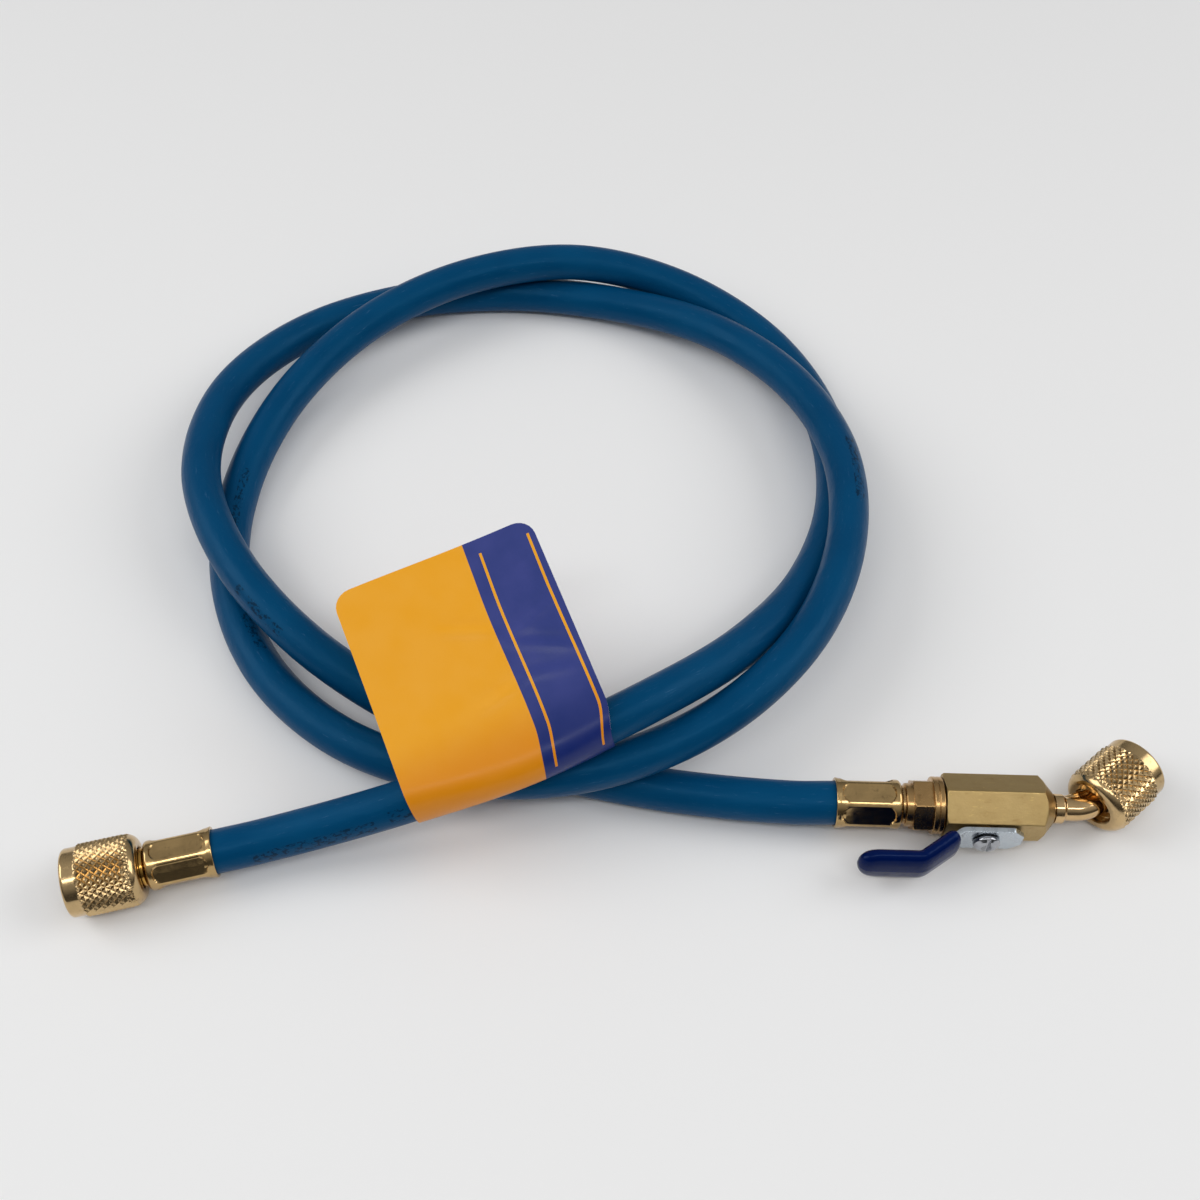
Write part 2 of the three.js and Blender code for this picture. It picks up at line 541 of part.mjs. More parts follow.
// Points of a round end about a middle line, from its upper to its lower side
function roundEnd(tipX, halfWidth, steps) {
  const points = [];
  for (let i = 0; i <= steps; i++) {
    const turn = Math.PI / 2 + (i / steps) * Math.PI;
    points.push([tipX + halfWidth + halfWidth * Math.cos(turn), halfWidth * Math.sin(turn)]);
  }
  return points;
}
{
  const half = PLATE_WIDTH / 2;
  const plateTip = LEVER_REACH - GRIP_WALL - GRIP_POCKET_GAP;
  const plateOutline = [
    [PLATE_TAIL, -half + PLATE_CORNER],
    [PLATE_TAIL, half - PLATE_CORNER],
    [PLATE_TAIL - PLATE_CORNER, half],
    ...roundEnd(-plateTip, half, 8),
    [PLATE_TAIL - PLATE_CORNER, -half],
  ];
  const strip = toManifold(extrudedUp(bentStrip(-PLATE_TAIL, plateTip, PLATE_THICKNESS), PLATE_WIDTH));
  const screwRoom = rod(0, 2 * SHAFT_REACH, SCREW_SHANK_DIAMETER + 2 * SEAT_GAP);
  screwRoom.rotateZ(-Math.PI / 2);
  const plate = strip.intersect(toManifold(trimPrism(plateOutline))).subtract(toManifold(screwRoom));
  turning.add(mesh('lever_plate', toGeometry(plate), { color: 0xa5b2b9, roughness: 0.35, metalness: 1 }));

  // The vinyl grip, open where the strip enters it
  const pocketHalf = half + GRIP_POCKET_GAP;
  const gripHalf = pocketHalf + GRIP_WALL;
  const gripThickness = PLATE_THICKNESS + 2 * (GRIP_POCKET_GAP + GRIP_WALL);
  const pocketThickness = PLATE_THICKNESS + 2 * GRIP_POCKET_GAP;
  const pocketTip = plateTip + GRIP_POCKET_GAP;
  const gripOutline = [
    [0, gripHalf],
    ...roundEnd(-LEVER_REACH, gripHalf, 10),
    [0, -gripHalf],
  ];
  const pocketOutline = [
    [GRIP_START, pocketHalf],
    ...roundEnd(-pocketTip, pocketHalf, 8),
    [GRIP_START, -pocketHalf],
  ];
  const skin = toManifold(extrudedUp(bentStrip(GRIP_START, LEVER_REACH, gripThickness), 2 * gripHalf))
    .intersect(toManifold(trimPrism(gripOutline)));
  const pocket = toManifold(extrudedUp(bentStrip(-PLATE_TAIL, pocketTip, pocketThickness), 2 * pocketHalf))
    .intersect(toManifold(trimPrism(pocketOutline)));
  turning.add(mesh('lever_grip', toGeometry(skin.subtract(pocket)), {
    color: 0x0a1260,
    roughness: 0.2,
    metalness: 0,
  }));

  // The pan-head screw that holds the lever on the shaft
  const headStart = SHAFT_REACH + PLATE_THICKNESS + SEAT_GAP;
  const screwOutline = [
    [headStart - SCREW_SHANK_LENGTH, 0],
    [headStart - SCREW_SHANK_LENGTH, SCREW_SHANK_DIAMETER / 2],
    [headStart, SCREW_SHANK_DIAMETER / 2],
    [headStart, SCREW_HEAD_DIAMETER / 2],
    ...SCREW_DOME.map(([height, radius]) => [headStart + height, radius]),
    [headStart + SCREW_HEAD_HEIGHT, 0],
  ];
  const slot = new THREE.BoxGeometry(2 * SCREW_SLOT_DEPTH, SCREW_HEAD_DIAMETER + OVERCUT, SCREW_SLOT_WIDTH);
  slot.rotateX(SCREW_SLOT_TURN);
  slot.translate(headStart + SCREW_HEAD_HEIGHT, 0, 0);
  const screw = toGeometry(toManifold(turned(screwOutline, SMALL_SEGMENTS)).subtract(toManifold(slot)));
  screw.rotateZ(-Math.PI / 2);
  turning.add(mesh('lever_screw', screw, { color: 0x9a9da3, roughness: 0.25, metalness: 1 }));
}
valveEnd.add(turning);

// Bent outlet tube: it leaves the body's socket, turns towards +Y and ends in the nut's head
const BEND_START = BODY_END + TUBE_ROOT_LENGTH + TUBE_LEAD;
const bendEnd = new THREE.Vector3(
  BEND_START + TUBE_BEND_RADIUS * Math.sin(TUBE_BEND),
  TUBE_BEND_RADIUS * (1 - Math.cos(TUBE_BEND)),
  0,
);
const outlet = new THREE.Vector3(Math.cos(TUBE_BEND), Math.sin(TUBE_BEND), 0);
{
  const start = new THREE.Vector3(BODY_END - TUBE_SOCKET_DEPTH + SEAT_GAP, 0, 0);
  const bendSteps = 6;
  const corners = [start, new THREE.Vector3(BEND_START, 0, 0)];
  for (let i = 1; i <= bendSteps; i++) {
    const turn = (i / bendSteps) * TUBE_BEND;
    corners.push(new THREE.Vector3(
      BEND_START + TUBE_BEND_RADIUS * Math.sin(turn),
      TUBE_BEND_RADIUS * (1 - Math.cos(turn)),
      0,
    ));
  }
  corners.push(bendEnd.clone().addScaledVector(outlet, TUBE_TAIL + JOIN_OVERLAP));
  const section = new THREE.Shape();
  section.absarc(0, 0, SHANK_DIAMETER / 2, 0, 2 * Math.PI);
  const bore = new THREE.Path();
  bore.absarc(0, 0, FLOW_BORE / 2, 0, 2 * Math.PI, true);
  section.holes.push(bore);
  const sweep = new THREE.ExtrudeGeometry(section, {
    steps: TUBE_STEPS,
    curveSegments: TUBE_CURVE_SEGMENTS,
    extrudePath: new THREE.CatmullRomCurve3(corners, false, 'centripetal'),
    bevelEnabled: false,
  });
  const inside = SHANK_DIAMETER / 2 - JOIN_OVERLAP;
  const root = turned([
    [BODY_END + SEAT_GAP, inside],
    [BODY_END + TUBE_ROOT_LENGTH, inside],
    [BODY_END + TUBE_ROOT_LENGTH, TUBE_ROOT_DIAMETER / 2 - TUBE_ROOT_CHAMFER],
    [BODY_END + TUBE_ROOT_LENGTH - TUBE_ROOT_CHAMFER, TUBE_ROOT_DIAMETER / 2],
    [BODY_END + SEAT_GAP, TUBE_ROOT_DIAMETER / 2],
  ], SMALL_SEGMENTS);
  const head = turned([
    [0, FLOW_BORE / 2],
    [HEAD_THICKNESS, FLOW_BORE / 2],
    [HEAD_THICKNESS, HEAD_DIAMETER / 2],
    [0, HEAD_DIAMETER / 2],
  ], SMALL_SEGMENTS);
  head.rotateZ(TUBE_BEND);
  const headBase = bendEnd.clone().addScaledVector(outlet, TUBE_TAIL);
  head.translate(headBase.x, headBase.y, 0);
  const tube = toManifold(sweep).add(toManifold(root)).add(toManifold(head));
  valveEnd.add(mesh('angle_tube', toGeometry(tube), brass));
}

// Angled coupler: the same nut, turned so that its open face looks along the tube's outlet
const angledEnd = new THREE.Group();
angledEnd.position.copy(bendEnd).addScaledVector(outlet, TUBE_TAIL + HEAD_END);
angledEnd.rotation.z = TUBE_BEND + Math.PI;
{
  const depressorEnd = HEAD_END - SEAT_GAP;
  const pin = toManifold(rod(depressorEnd - DEPRESSOR_LENGTH, depressorEnd, DEPRESSOR_DIAMETER, 12));
  const finSpan = FLOW_BORE - 2 * SEAT_GAP;
  const fin = new THREE.BoxGeometry(HEAD_THICKNESS - SEAT_GAP, finSpan, DEPRESSOR_FIN);
  fin.translate(depressorEnd - (HEAD_THICKNESS - SEAT_GAP) / 2, 0, 0);
  const crossFin = fin.clone().rotateX(Math.PI / 2);
  angledEnd.add(
    couplerNut('angle_nut'),
    washer('angle_washer'),
    mesh('core_depressor', toGeometry(pin.add(toManifold(fin)).add(toManifold(crossFin))), brass),
  );
}
valveEnd.add(angledEnd);

// The hose, swept along its centre line
const route = new THREE.CatmullRomCurve3(ROUTE.map((p) => new THREE.Vector3(...p)), false, 'centripetal');
const jacket = (() => {
  const section = new THREE.Shape();
  for (let i = 0; i < HOSE_SIDES; i++) {
    const turn = ((i + 0.5) / HOSE_SIDES) * 2 * Math.PI;
    const x = (HOSE_DIAMETER / 2) * Math.cos(turn);
    const y = (HOSE_DIAMETER / 2) * Math.sin(turn);
    if (i === 0) section.moveTo(x, y);
    else section.lineTo(x, y);
  }
  section.closePath();
  const sweep = { steps: HOSE_STEPS, extrudePath: route, bevelEnabled: false };
  return mesh('hose', new THREE.ExtrudeGeometry(section, sweep), { color: 0x003e68, roughness: 0.4 });
})();

// The tag: one strip of paper that runs down its front leaf, round the hose and up its back leaf.
// Its width follows the hose, u runs up the face and n is the face's normal.
const tag = (() => {
  const across = new THREE.Vector3(
    Math.cos(TAG_TURN) * Math.cos(TAG_RISE),
    Math.sin(TAG_TURN) * Math.cos(TAG_RISE),
    Math.sin(TAG_RISE),
  );
  const level = new THREE.Vector3(-Math.sin(TAG_TURN), Math.cos(TAG_TURN), 0);
  const upright = across.clone().cross(level);
  const u = level.clone().multiplyScalar(Math.cos(TAG_TILT)).addScaledVector(upright, Math.sin(TAG_TILT));
  const n = upright.clone().multiplyScalar(Math.cos(TAG_TILT)).addScaledVector(level, -Math.sin(TAG_TILT));
  const hosePoints = route.getSpacedPoints(TAG_SEARCH_STEPS);
  const near = hosePoints.slice(0, Math.round(TAG_SEARCH_STEPS * TAG_SEARCH_SHARE));
  const centre = route.getPointAt(TAG_ALONG / route.getLength());
  const inner = HOSE_DIAMETER / 2 + TAG_HOSE_GAP;

  // Where the hose's centre passes through the section at a given place across the tag
  const hoseAt = (t) => {
    const i = near.findIndex((p) => p.clone().sub(centre).dot(across) > t);
    const before = near[i - 1].clone().sub(centre);
    const after = near[i].clone().sub(centre);
    const share = (t - before.dot(across)) / (after.dot(across) - before.dot(across));
    const p = before.lerp(after, share);
    return [p.dot(u), p.dot(n)];
  };

  // Points along one face of the strip, the outer one when it grows by the paper's thickness
  const face = ([hoseU, hoseN], top, grow) => {
    const frontN = inner + grow;
    const lowN = hoseN - inner - grow;
    const backN = inner - TAG_PAPER - TAG_LEAF_GAP - grow;
    const points = [new THREE.Vector2(top, frontN), new THREE.Vector2((top + hoseU) / 2, frontN)];
    for (let i = 0; i <= TAG_WRAP_STEPS; i++) {
      const turn = Math.PI / 2 + (i / TAG_WRAP_STEPS) * Math.PI;
      points.push(new THREE.Vector2(
        hoseU + (inner + grow) * Math.cos(turn),
        (frontN + lowN) / 2 + ((frontN - lowN) / 2) * Math.sin(turn),
      ));
    }
    const back = new THREE.CubicBezierCurve(
      new THREE.Vector2(hoseU, lowN),
      new THREE.Vector2(hoseU + TAG_JOIN * TAG_JOIN_EASE, lowN),
      new THREE.Vector2(hoseU + TAG_JOIN * TAG_JOIN_EASE, backN),
      new THREE.Vector2(hoseU + TAG_JOIN, backN),
    );
    points.push(...back.getPoints(TAG_WRAP_STEPS).slice(1), new THREE.Vector2(top, backN));
    return points;
  };

  // Sections across the tag, closer together where its top corners are rounded
  const half = TAG_WIDTH / 2;
  const sections = [];
  for (let i = 0; i <= TAG_CORNER_STEPS; i++) {
    const turn = (i / TAG_CORNER_STEPS) * Math.PI / 2;
    sections.push([half - TAG_CORNER * (1 - Math.cos(turn)), TAG_CORNER * (1 - Math.sin(turn))]);
  }
  const middles = [];
  for (let i = 1; i < TAG_MIDDLE_SECTIONS; i++) {
    middles.push([(2 * i / TAG_MIDDLE_SECTIONS - 1) * (half - TAG_CORNER), 0]);
  }
  const left = sections.map(([t, drop]) => [-t, drop]);
  const places = [...left, ...middles, ...sections.slice().reverse()];

  const rings = places.map(([t, drop]) => {
    const hose = hoseAt(t);
    const outside = face(hose, TAG_HEIGHT - drop, TAG_PAPER);
    const inside = face(hose, TAG_HEIGHT - drop, 0).reverse();
    return [...outside, ...inside].map((p) => centre.clone()
      .addScaledVector(across, t)
      .addScaledVector(u, p.x)
      .addScaledVector(n, p.y));
  });
  const count = rings[0].length;
  const index = [];
  for (let r = 0; r + 1 < rings.length; r++) {
    for (let i = 0; i < count; i++) {
      const a = r * count + i;
      const b = r * count + (i + 1) % count;
      index.push(a, b, a + count, b, b + count, a + count);
    }
  }
  const last = (rings.length - 1) * count;
  for (let i = 0; i + 1 < count / 2; i++) {
    const j = count - 1 - i;
    index.push(i, j, i + 1, j, j - 1, i + 1);
    index.push(last + i, last + i + 1, last + j, last + j, last + i + 1, last + j - 1);
  }
  const geometry = new THREE.BufferGeometry().setFromPoints(rings.flat());
  geometry.setIndex(index);
  geometry.computeVertexNormals();
  return mesh('tag', geometry, { color: 0xe8a034, roughness: 0.7, metalness: 0 });
})();

export default new THREE.Group().add(straightEnd, valveEnd, jacket, tag);
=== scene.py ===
import math

import bmesh
import bpy
from mathutils import Matrix, Vector


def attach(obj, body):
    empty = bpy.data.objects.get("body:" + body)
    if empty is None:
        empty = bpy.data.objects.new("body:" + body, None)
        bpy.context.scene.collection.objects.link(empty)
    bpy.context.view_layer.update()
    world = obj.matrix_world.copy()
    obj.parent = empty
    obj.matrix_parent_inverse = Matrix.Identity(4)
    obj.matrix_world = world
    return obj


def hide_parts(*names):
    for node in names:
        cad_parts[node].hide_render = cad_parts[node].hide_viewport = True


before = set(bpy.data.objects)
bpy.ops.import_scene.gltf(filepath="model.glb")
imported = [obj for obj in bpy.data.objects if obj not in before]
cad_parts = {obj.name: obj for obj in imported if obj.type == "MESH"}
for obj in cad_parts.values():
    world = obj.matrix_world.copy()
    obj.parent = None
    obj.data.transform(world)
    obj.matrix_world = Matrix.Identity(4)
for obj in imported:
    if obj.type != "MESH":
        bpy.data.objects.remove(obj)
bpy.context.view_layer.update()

# The camera stands where the photograph was taken from: in front of the fittings, looking down
# at 55 degrees, and turned very slightly to the left.
camera_lens = bpy.data.cameras.new("camera")
camera_lens.lens = 44.79
camera_lens.sensor_width = 36
camera_lens.clip_start = 0.01
camera = bpy.data.objects.new("camera", camera_lens)
camera.location = (-0.00056, -0.17566, 0.3638)
camera.rotation_euler = (math.radians(35), 0, math.radians(1.7))
bpy.context.scene.collection.objects.link(camera)
bpy.context.scene.camera = camera

# Hose: a quarter-inch charging hose with a smooth blue rubber jacket, extruded over braid, so it is
# round and stiff and lies in two loose loops. Handling has left its shine broken and its print worn.
hose_diameter = 11.6
hose_reach_into_ferrule = 2.6
hose_route = [
    (-104.96, -10.13, 9.45), (-91.9, -6.5, 9.8), (-57.9, 0.6, 18.3), (-24.9, 9.1, 28.6),
    (6.6, 26.6, 29.6), (32.6, 50.1, 21.9), (52.1, 79.1, 13.1), (62.6, 113.1, 7.8),
    (60.6, 148.6, 6.0), (44.1, 180.1, 7.0), (15.1, 200.6, 11.3), (-19.4, 205.6, 17.0),
    (-54.4, 196.6, 18.4), (-84.9, 177.6, 16.1), (-107.4, 150.1, 11.7), (-118.9, 116.6, 7.7),
    (-117.9, 81.1, 5.9), (-102.9, 48.6, 6.2), (-76.4, 24.6, 8.6), (-42.9, 12.6, 12.4),
    (-7.4, 12.6, 17.6), (25.1, 27.1, 20.9), (49.6, 53.1, 22.1), (62.6, 86.6, 21.3),
    (63.1, 122.1, 19.1), (49.6, 155.1, 15.8), (24.6, 180.6, 12.0), (-7.4, 196.1, 7.6),
    (-42.9, 201.6, 5.9), (-77.9, 195.6, 6.9), (-108.4, 176.6, 10.1), (-127.4, 146.6, 14.3),
    (-129.4, 111.1, 17.6), (-114.9, 78.6, 17.7), (-90.4, 52.6, 14.2), (-59.9, 34.1, 9.2),
    (-26.4, 21.1, 6.1), (8.6, 13.1, 6.7), (44.1, 8.6, 9.3), (55.54, 8.74, 9.45),
]


def smooth_line(points, spacing):
    """A centripetal curve through the points, at an even spacing"""
    ends = [2 * points[0] - points[1], *points, 2 * points[-1] - points[-2]]
    fine = []
    for before, start, end, after in zip(ends, ends[1:], ends[2:], ends[3:]):
        d0, d1, d2 = (
            (b - a).length ** 0.5
            for a, b in ((before, start), (start, end), (end, after))
        )
        leave = ((start - before) / d0 - (end - before) / (d0 + d1) + (end - start) / d1) * d1
        arrive = ((end - start) / d1 - (after - start) / (d1 + d2) + (after - end) / d2) * d1
        for step in range(40):
            t = step / 40
            fine.append(
                (2 * t**3 - 3 * t**2 + 1) * start
                + (t**3 - 2 * t**2 + t) * leave
                + (3 * t**2 - 2 * t**3) * end
                + (t**3 - t**2) * arrive
            )
    fine.append(points[-1])
    return evenly(fine, spacing)


def evenly(points, spacing):
    """The same polyline with its points about one spacing apart"""
    lengths = [0]
    for a, b in zip(points, points[1:]):
        lengths.append(lengths[-1] + (b - a).length)
    count = round(lengths[-1] / spacing)
    even = []
    segment = 0
    for i in range(count + 1):
        along = lengths[-1] * i / count
        while segment + 2 < len(lengths) and lengths[segment + 1] < along:
            segment += 1
        share = (along - lengths[segment]) / (lengths[segment + 1] - lengths[segment])
        even.append(points[segment].lerp(points[segment + 1], min(share, 1)))
    return even


def piece_from(name, points, faces, made, sharp=32):
    """A mesh piece in metres. made is each point's place on the flat or straight piece, in mm."""
    mesh = bpy.data.meshes.new(name)
    mesh.from_pydata(points, [], faces)
    as_made = mesh.attributes.new("made", "FLOAT_VECTOR", "POINT")
    as_made.data.foreach_set("vector", [c for point in made for c in point])
    tidy = bmesh.new()
    tidy.from_mesh(mesh)
    bmesh.ops.recalc_face_normals(tidy, faces=tidy.faces)
    tidy.to_mesh(mesh)
    tidy.free()
    mesh.shade_smooth()
    mesh.set_sharp_from_angle(angle=math.radians(sharp))
    piece = bpy.data.objects.new(name, mesh)
    bpy.context.scene.collection.objects.link(piece)
    return piece


class Wire:
    """An output socket of a finish's nodes. Arithmetic on it adds Math nodes."""

    def __init__(self, finish, socket):
        self.finish = finish
        self.socket = socket

    def maths(self, operation, *values):
        return self.finish.node(
            "ShaderNodeMath", {"operation": operation}, dict(enumerate(values))
        )

    def __add__(self, other):
        return self.maths("ADD", self, other)

    def __sub__(self, other):
        return self.maths("SUBTRACT", self, other)

    def __rsub__(self, other):
        return self.maths("SUBTRACT", other, self)

    def __mul__(self, other):
        return self.maths("MULTIPLY", self, other)

    def __gt__(self, other):
        return self.maths("GREATER_THAN", self, other)

    def __lt__(self, other):
        return self.maths("LESS_THAN", self, other)

    def size(self):
        return self.maths("ABSOLUTE", self)

    __radd__ = __add__
    __rmul__ = __mul__


class Finish:
    """A material, or the room round the scene, in the making: a shader and the nodes that feed it."""

    def __init__(self, name, library=bpy.data.materials, **constants):
        self.material = library.new(name)
        self.material.use_nodes = True
        self.tree = self.material.node_tree
        self.shader = next(n for n in self.tree.nodes if n.type in ("BSDF_PRINCIPLED", "BACKGROUND"))
        for socket, value in constants.items():
            self.shader.inputs[socket.replace("_", " ")].default_value = value

    def node(self, kind, settings={}, sockets={}, output=0):
        made = self.tree.nodes.new(kind)
        for key, value in settings.items():
            if key == "stops":
                stops = made.color_ramp.elements
                while len(stops) < len(value):
                    stops.new(0.5)
                for stop, (place, colour) in zip(stops, value):
                    stop.position = place
                    stop.color = colour
            else:
                setattr(made, key, value)
        for key, value in sockets.items():
            if isinstance(value, Wire):
                self.tree.links.new(value.socket, made.inputs[key])
            else:
                made.inputs[key].default_value = value
        return Wire(self, made.outputs[output])

    def as_made(self, x=1.0, y=1.0, z=1.0):
        """The place on the piece as it was made, in mm, stretched by one factor per direction"""
        place = self.node("ShaderNodeAttribute", {"attribute_name": "made"}, {}, "Vector")
        return self.node(
            "ShaderNodeVectorMath", {"operation": "MULTIPLY"}, {0: place, 1: (x, y, z)}
        )

    def speckle(self, place, scale, detail=2.0, roughness=0.5):
        return self.node(
            "ShaderNodeTexNoise",
            {},
            {"Vector": place, "Scale": scale, "Detail": detail, "Roughness": roughness},
        )

    def between(self, value, low, high, to_low=0.0, to_high=1.0):
        """A value's share of the way from low to high, kept within the two ends"""
        return self.node(
            "ShaderNodeMapRange",
            {"interpolation_type": "SMOOTHSTEP"},
            {"Value": value, 1: low, 2: high, 3: to_low, 4: to_high},
        )

    def blend(self, share, first, second):
        return self.node(
            "ShaderNodeMix", {"data_type": "RGBA"}, {0: share, 6: first, 7: second}, 2
        )

    def relief(self, height, depth, under=None):
        """A bump of the given depth in metres, over another one where there is one"""
        sockets = {"Height": height, "Distance": depth, "Strength": 1.0}
        if under:
            sockets["Normal"] = under
        return self.node("ShaderNodeBump", {}, sockets)

    def feed(self, **wires):
        for socket, wire in wires.items():
            self.tree.links.new(wire.socket, self.shader.inputs[socket.replace("_", " ")])


def seen(red, green, blue):
    """A colour as it looks on a screen, 0 to 255, in the values that a shader takes"""
    shares = [((c / 255 + 0.055) / 1.055) ** 2.4 if c > 10 else c / 3294.6 for c in (red, green, blue)]
    return shares + [1]


def hose_jacket(points, radius, sides):
    """Rings round the hose's centre line, with made as distance along it and place round it"""
    rings, made = [], []
    along = 0
    for i, point in enumerate(points):
        ahead = points[min(i + 1, len(points) - 1)] - points[max(i - 1, 0)]
        ahead.normalize()
        across = ahead.cross(Vector((0, 0, 1))).normalized()
        up = across.cross(ahead)
        along += (point - points[max(i - 1, 0)]).length
        for side in range(sides):
            turn = math.tau * side / sides
            a, b = radius * math.cos(turn), radius * math.sin(turn)
            rings.append((point + across * a + up * b) / 1000)
            made.append((along, a, b))
    faces = [tuple(range(sides)), tuple(range(len(rings) - sides, len(rings)))]
    for i in range(len(points) - 1):
        for side in range(sides):
            a, b = i * sides + side, i * sides + (side + 1) % sides
            faces.append((a, b, b + sides, a + sides))
    return rings, faces, made


route_points = [Vector(point) for point in hose_route]
hose_line = smooth_line(route_points, 1.3)
start_way = (hose_line[0] - hose_line[1]).normalized() * hose_reach_into_ferrule
end_way = (hose_line[-1] - hose_line[-2]).normalized() * hose_reach_into_ferrule
hose_line = [hose_line[0] + start_way, *hose_line, hose_line[-1] + end_way]
hose = piece_from("charging_hose", *hose_jacket(hose_line, hose_diameter / 2, 32), sharp=60)

# Worn ink on the hose: start and end along it, then place round it (level, up) and reach, in mm
ink_lines = (
    (12.0, 46.0, 5.2, 1.6, 1.7), (50.0, 76.0, 5.0, 2.6, 1.6), (520.0, 545.0, -2.0, 5.4, 1.2),
    (575.0, 590.0, -2.0, 5.4, 1.2), (820.0, 845.0, 2.6, 5.0, 1.4), (1180.0, 1200.0, 4.2, 3.9, 1.0),
)
jacket_rubber = Finish(
    "blue_jacket_rubber", IOR=1.36, Specular_IOR_Level=0.4, Specular_Tint=seen(120, 205, 255)
)
round_hose = jacket_rubber.as_made()
grain = jacket_rubber.speckle(round_hose, 2.6, 3.0, 0.6)
ripple = jacket_rubber.speckle(jacket_rubber.as_made(0.35, 1.0, 1.0), 0.42, 2.0)
# Painted sheen: long lighter streaks along the hose, mixed into its colour.
painted_sheen_streaks = jacket_rubber.speckle(jacket_rubber.as_made(0.12, 1.0, 1.0), 1.6, 5.0, 0.7)
patches = jacket_rubber.speckle(round_hose, 0.06, 2.0)
along_hose = jacket_rubber.node("ShaderNodeSeparateXYZ", {}, {0: round_hose})
level_side = Wire(jacket_rubber, along_hose.socket.node.outputs[1])
upper_side = Wire(jacket_rubber, along_hose.socket.node.outputs[2])
# Short dark dashes, broken up by noise
dashes = jacket_rubber.speckle(jacket_rubber.as_made(0.55, 0.9, 0.9), 1.3, 4.0, 0.7) > 0.53
ink = 0.0
for ink_start, ink_end, ink_level, ink_up, ink_spread in ink_lines:
    ink = ink + (
        (along_hose > ink_start) * (along_hose < ink_end)
        * ((level_side - ink_level).size() < ink_spread) * ((upper_side - ink_up).size() < ink_spread)
    )
jacket_rubber.feed(
    Base_Color=jacket_rubber.blend(
        ink * dashes * 0.75,
        jacket_rubber.blend(
            # painted sheen, mixed in as lighter blue streaks
            jacket_rubber.between(painted_sheen_streaks, 0.6, 0.75, 0.0, 0.5),
            jacket_rubber.blend(patches, seen(0, 60, 100), seen(0, 72, 114)),
            seen(70, 110, 150),
        ),
        seen(0, 16, 34),
    ),
    Roughness=jacket_rubber.between(patches, 0.3, 0.7, 0.34, 0.46),
    Normal=jacket_rubber.relief(
        grain, 0.00003, jacket_rubber.relief(ripple, 0.00022)
    ),
)
hose.data.materials.append(jacket_rubber.material)
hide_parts("hose")
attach(hose, "hose_and_valve")

# Tag: one strip of coated card, printed orange with a dark blue band and two orange stripes, folded
# round the hose so that its two leaves lie together. Handling has creased it across the band.
tag_width, tag_height, tag_paper = 56.1, 59.1, 0.4
tag_along, tag_hose_gap, tag_leaf_gap = 81.4, 0.65, 0.3
tag_turn, tag_rise, tag_tilt = (math.radians(a) for a in (22.2, 9.9, 12.0))
tag_join, tag_corner = 17.0, 5.0
tag_inner = hose_diameter / 2 + tag_hose_gap
# Creases: place across and up the card, slant, reach to each side, depth
tag_creases = (
    (22.0, 33.5, 0.35, 8.0, 0.5), (19.0, 24.0, -0.45, 11.0, 0.7), (14.0, 30.0, 0.15, 6.0, 0.45),
    (2.0, 35.0, -0.4, 9.0, 0.5), (4.0, 15.5, 0.25, 9.0, 0.4), (17.0, 17.0, -0.2, 9.0, 0.5),
)
# Where the card turns under: the way that its right side is drawn inwards, from and to which places
# along the strip this grows, and where and over what length behind the hose it ends again
corner_drawn, drawn_from, drawn_full, drawn_end, drawn_fade = 2.3, 54.0, 66.0, 92.0, 16.0

across_tag = Vector((
    math.cos(tag_turn) * math.cos(tag_rise),
    math.sin(tag_turn) * math.cos(tag_rise),
    math.sin(tag_rise),
))
level = Vector((-math.sin(tag_turn), math.cos(tag_turn), 0))
upright = across_tag.cross(level)
up_tag = level * math.cos(tag_tilt) + upright * math.sin(tag_tilt)
off_tag = upright * math.cos(tag_tilt) - level * math.sin(tag_tilt)
fine_step = 0.5
fine_line = smooth_line(route_points, fine_step)
tag_centre = fine_line[round(tag_along / fine_step)]


def hose_at(t):
    """Where the hose passes through the section at a place across the tag, up it and off it"""
    nearest = min(fine_line[:500], key=lambda p: abs((p - tag_centre).dot(across_tag) - t))
    away = nearest - tag_centre
    return away.dot(up_tag), away.dot(off_tag)


def tag_strip(t, drop, grow):
    """Points (up, off, distance along the strip) of one face, from the front leaf's top to the back's"""
    hose_up, hose_off = hose_at(t)
    front = tag_inner + grow
    low = hose_off - tag_inner - grow
    back = tag_inner - tag_paper - tag_leaf_gap - grow
    top = tag_height - drop
    wrap_steps, leaf_steps = 28, 52
    points = [(top + (hose_up - top) * i / leaf_steps, front) for i in range(leaf_steps)]
    for i in range(wrap_steps + 1):
        turn = math.pi / 2 + math.pi * i / wrap_steps
        points.append((
            hose_up + front * math.cos(turn) * tag_inner / front + grow * math.cos(turn),
            (front + low) / 2 + (front - low) / 2 * math.sin(turn),
        ))
    for i in range(1, wrap_steps + 1):
        t_join = i / wrap_steps
        ease = 3 * t_join**2 - 2 * t_join**3
        slide = 1.5 * t_join * (1 - t_join) + t_join**3
        points.append((hose_up + tag_join * slide, low + (back - low) * ease))
    start = hose_up + tag_join
    points += [(start + (top - start) * i / leaf_steps, back) for i in range(1, leaf_steps + 1)]
    along, strip = drop, []
    for i, (up, off) in enumerate(points):
        if i:
            along += math.dist(points[i], points[i - 1])
        strip.append((up, off, along))
    return strip


def tag_wave(t, up):
    """How far the leaves stand off flat: a slow curl, and each crease with a low dip beside it"""
    free = min(max((up - 12) / 20, 0), 1)
    curl = 0.55 * math.sin(0.09 * t + 0.6) * math.sin(0.075 * up)
    crease = 0
    for crease_t, crease_up, slant, reach, deep in tag_creases:
        away = (up - crease_up - slant * (t - crease_t)) / 1.3
        fade = max(1 - ((t - crease_t) / reach) ** 2, 0)
        crease += deep * (math.exp(-away * away) - 0.6 * math.exp(-((away - 1.6) ** 2))) * fade
    return free * curl + min(max((up - 8) / 6, 0), 1) * crease


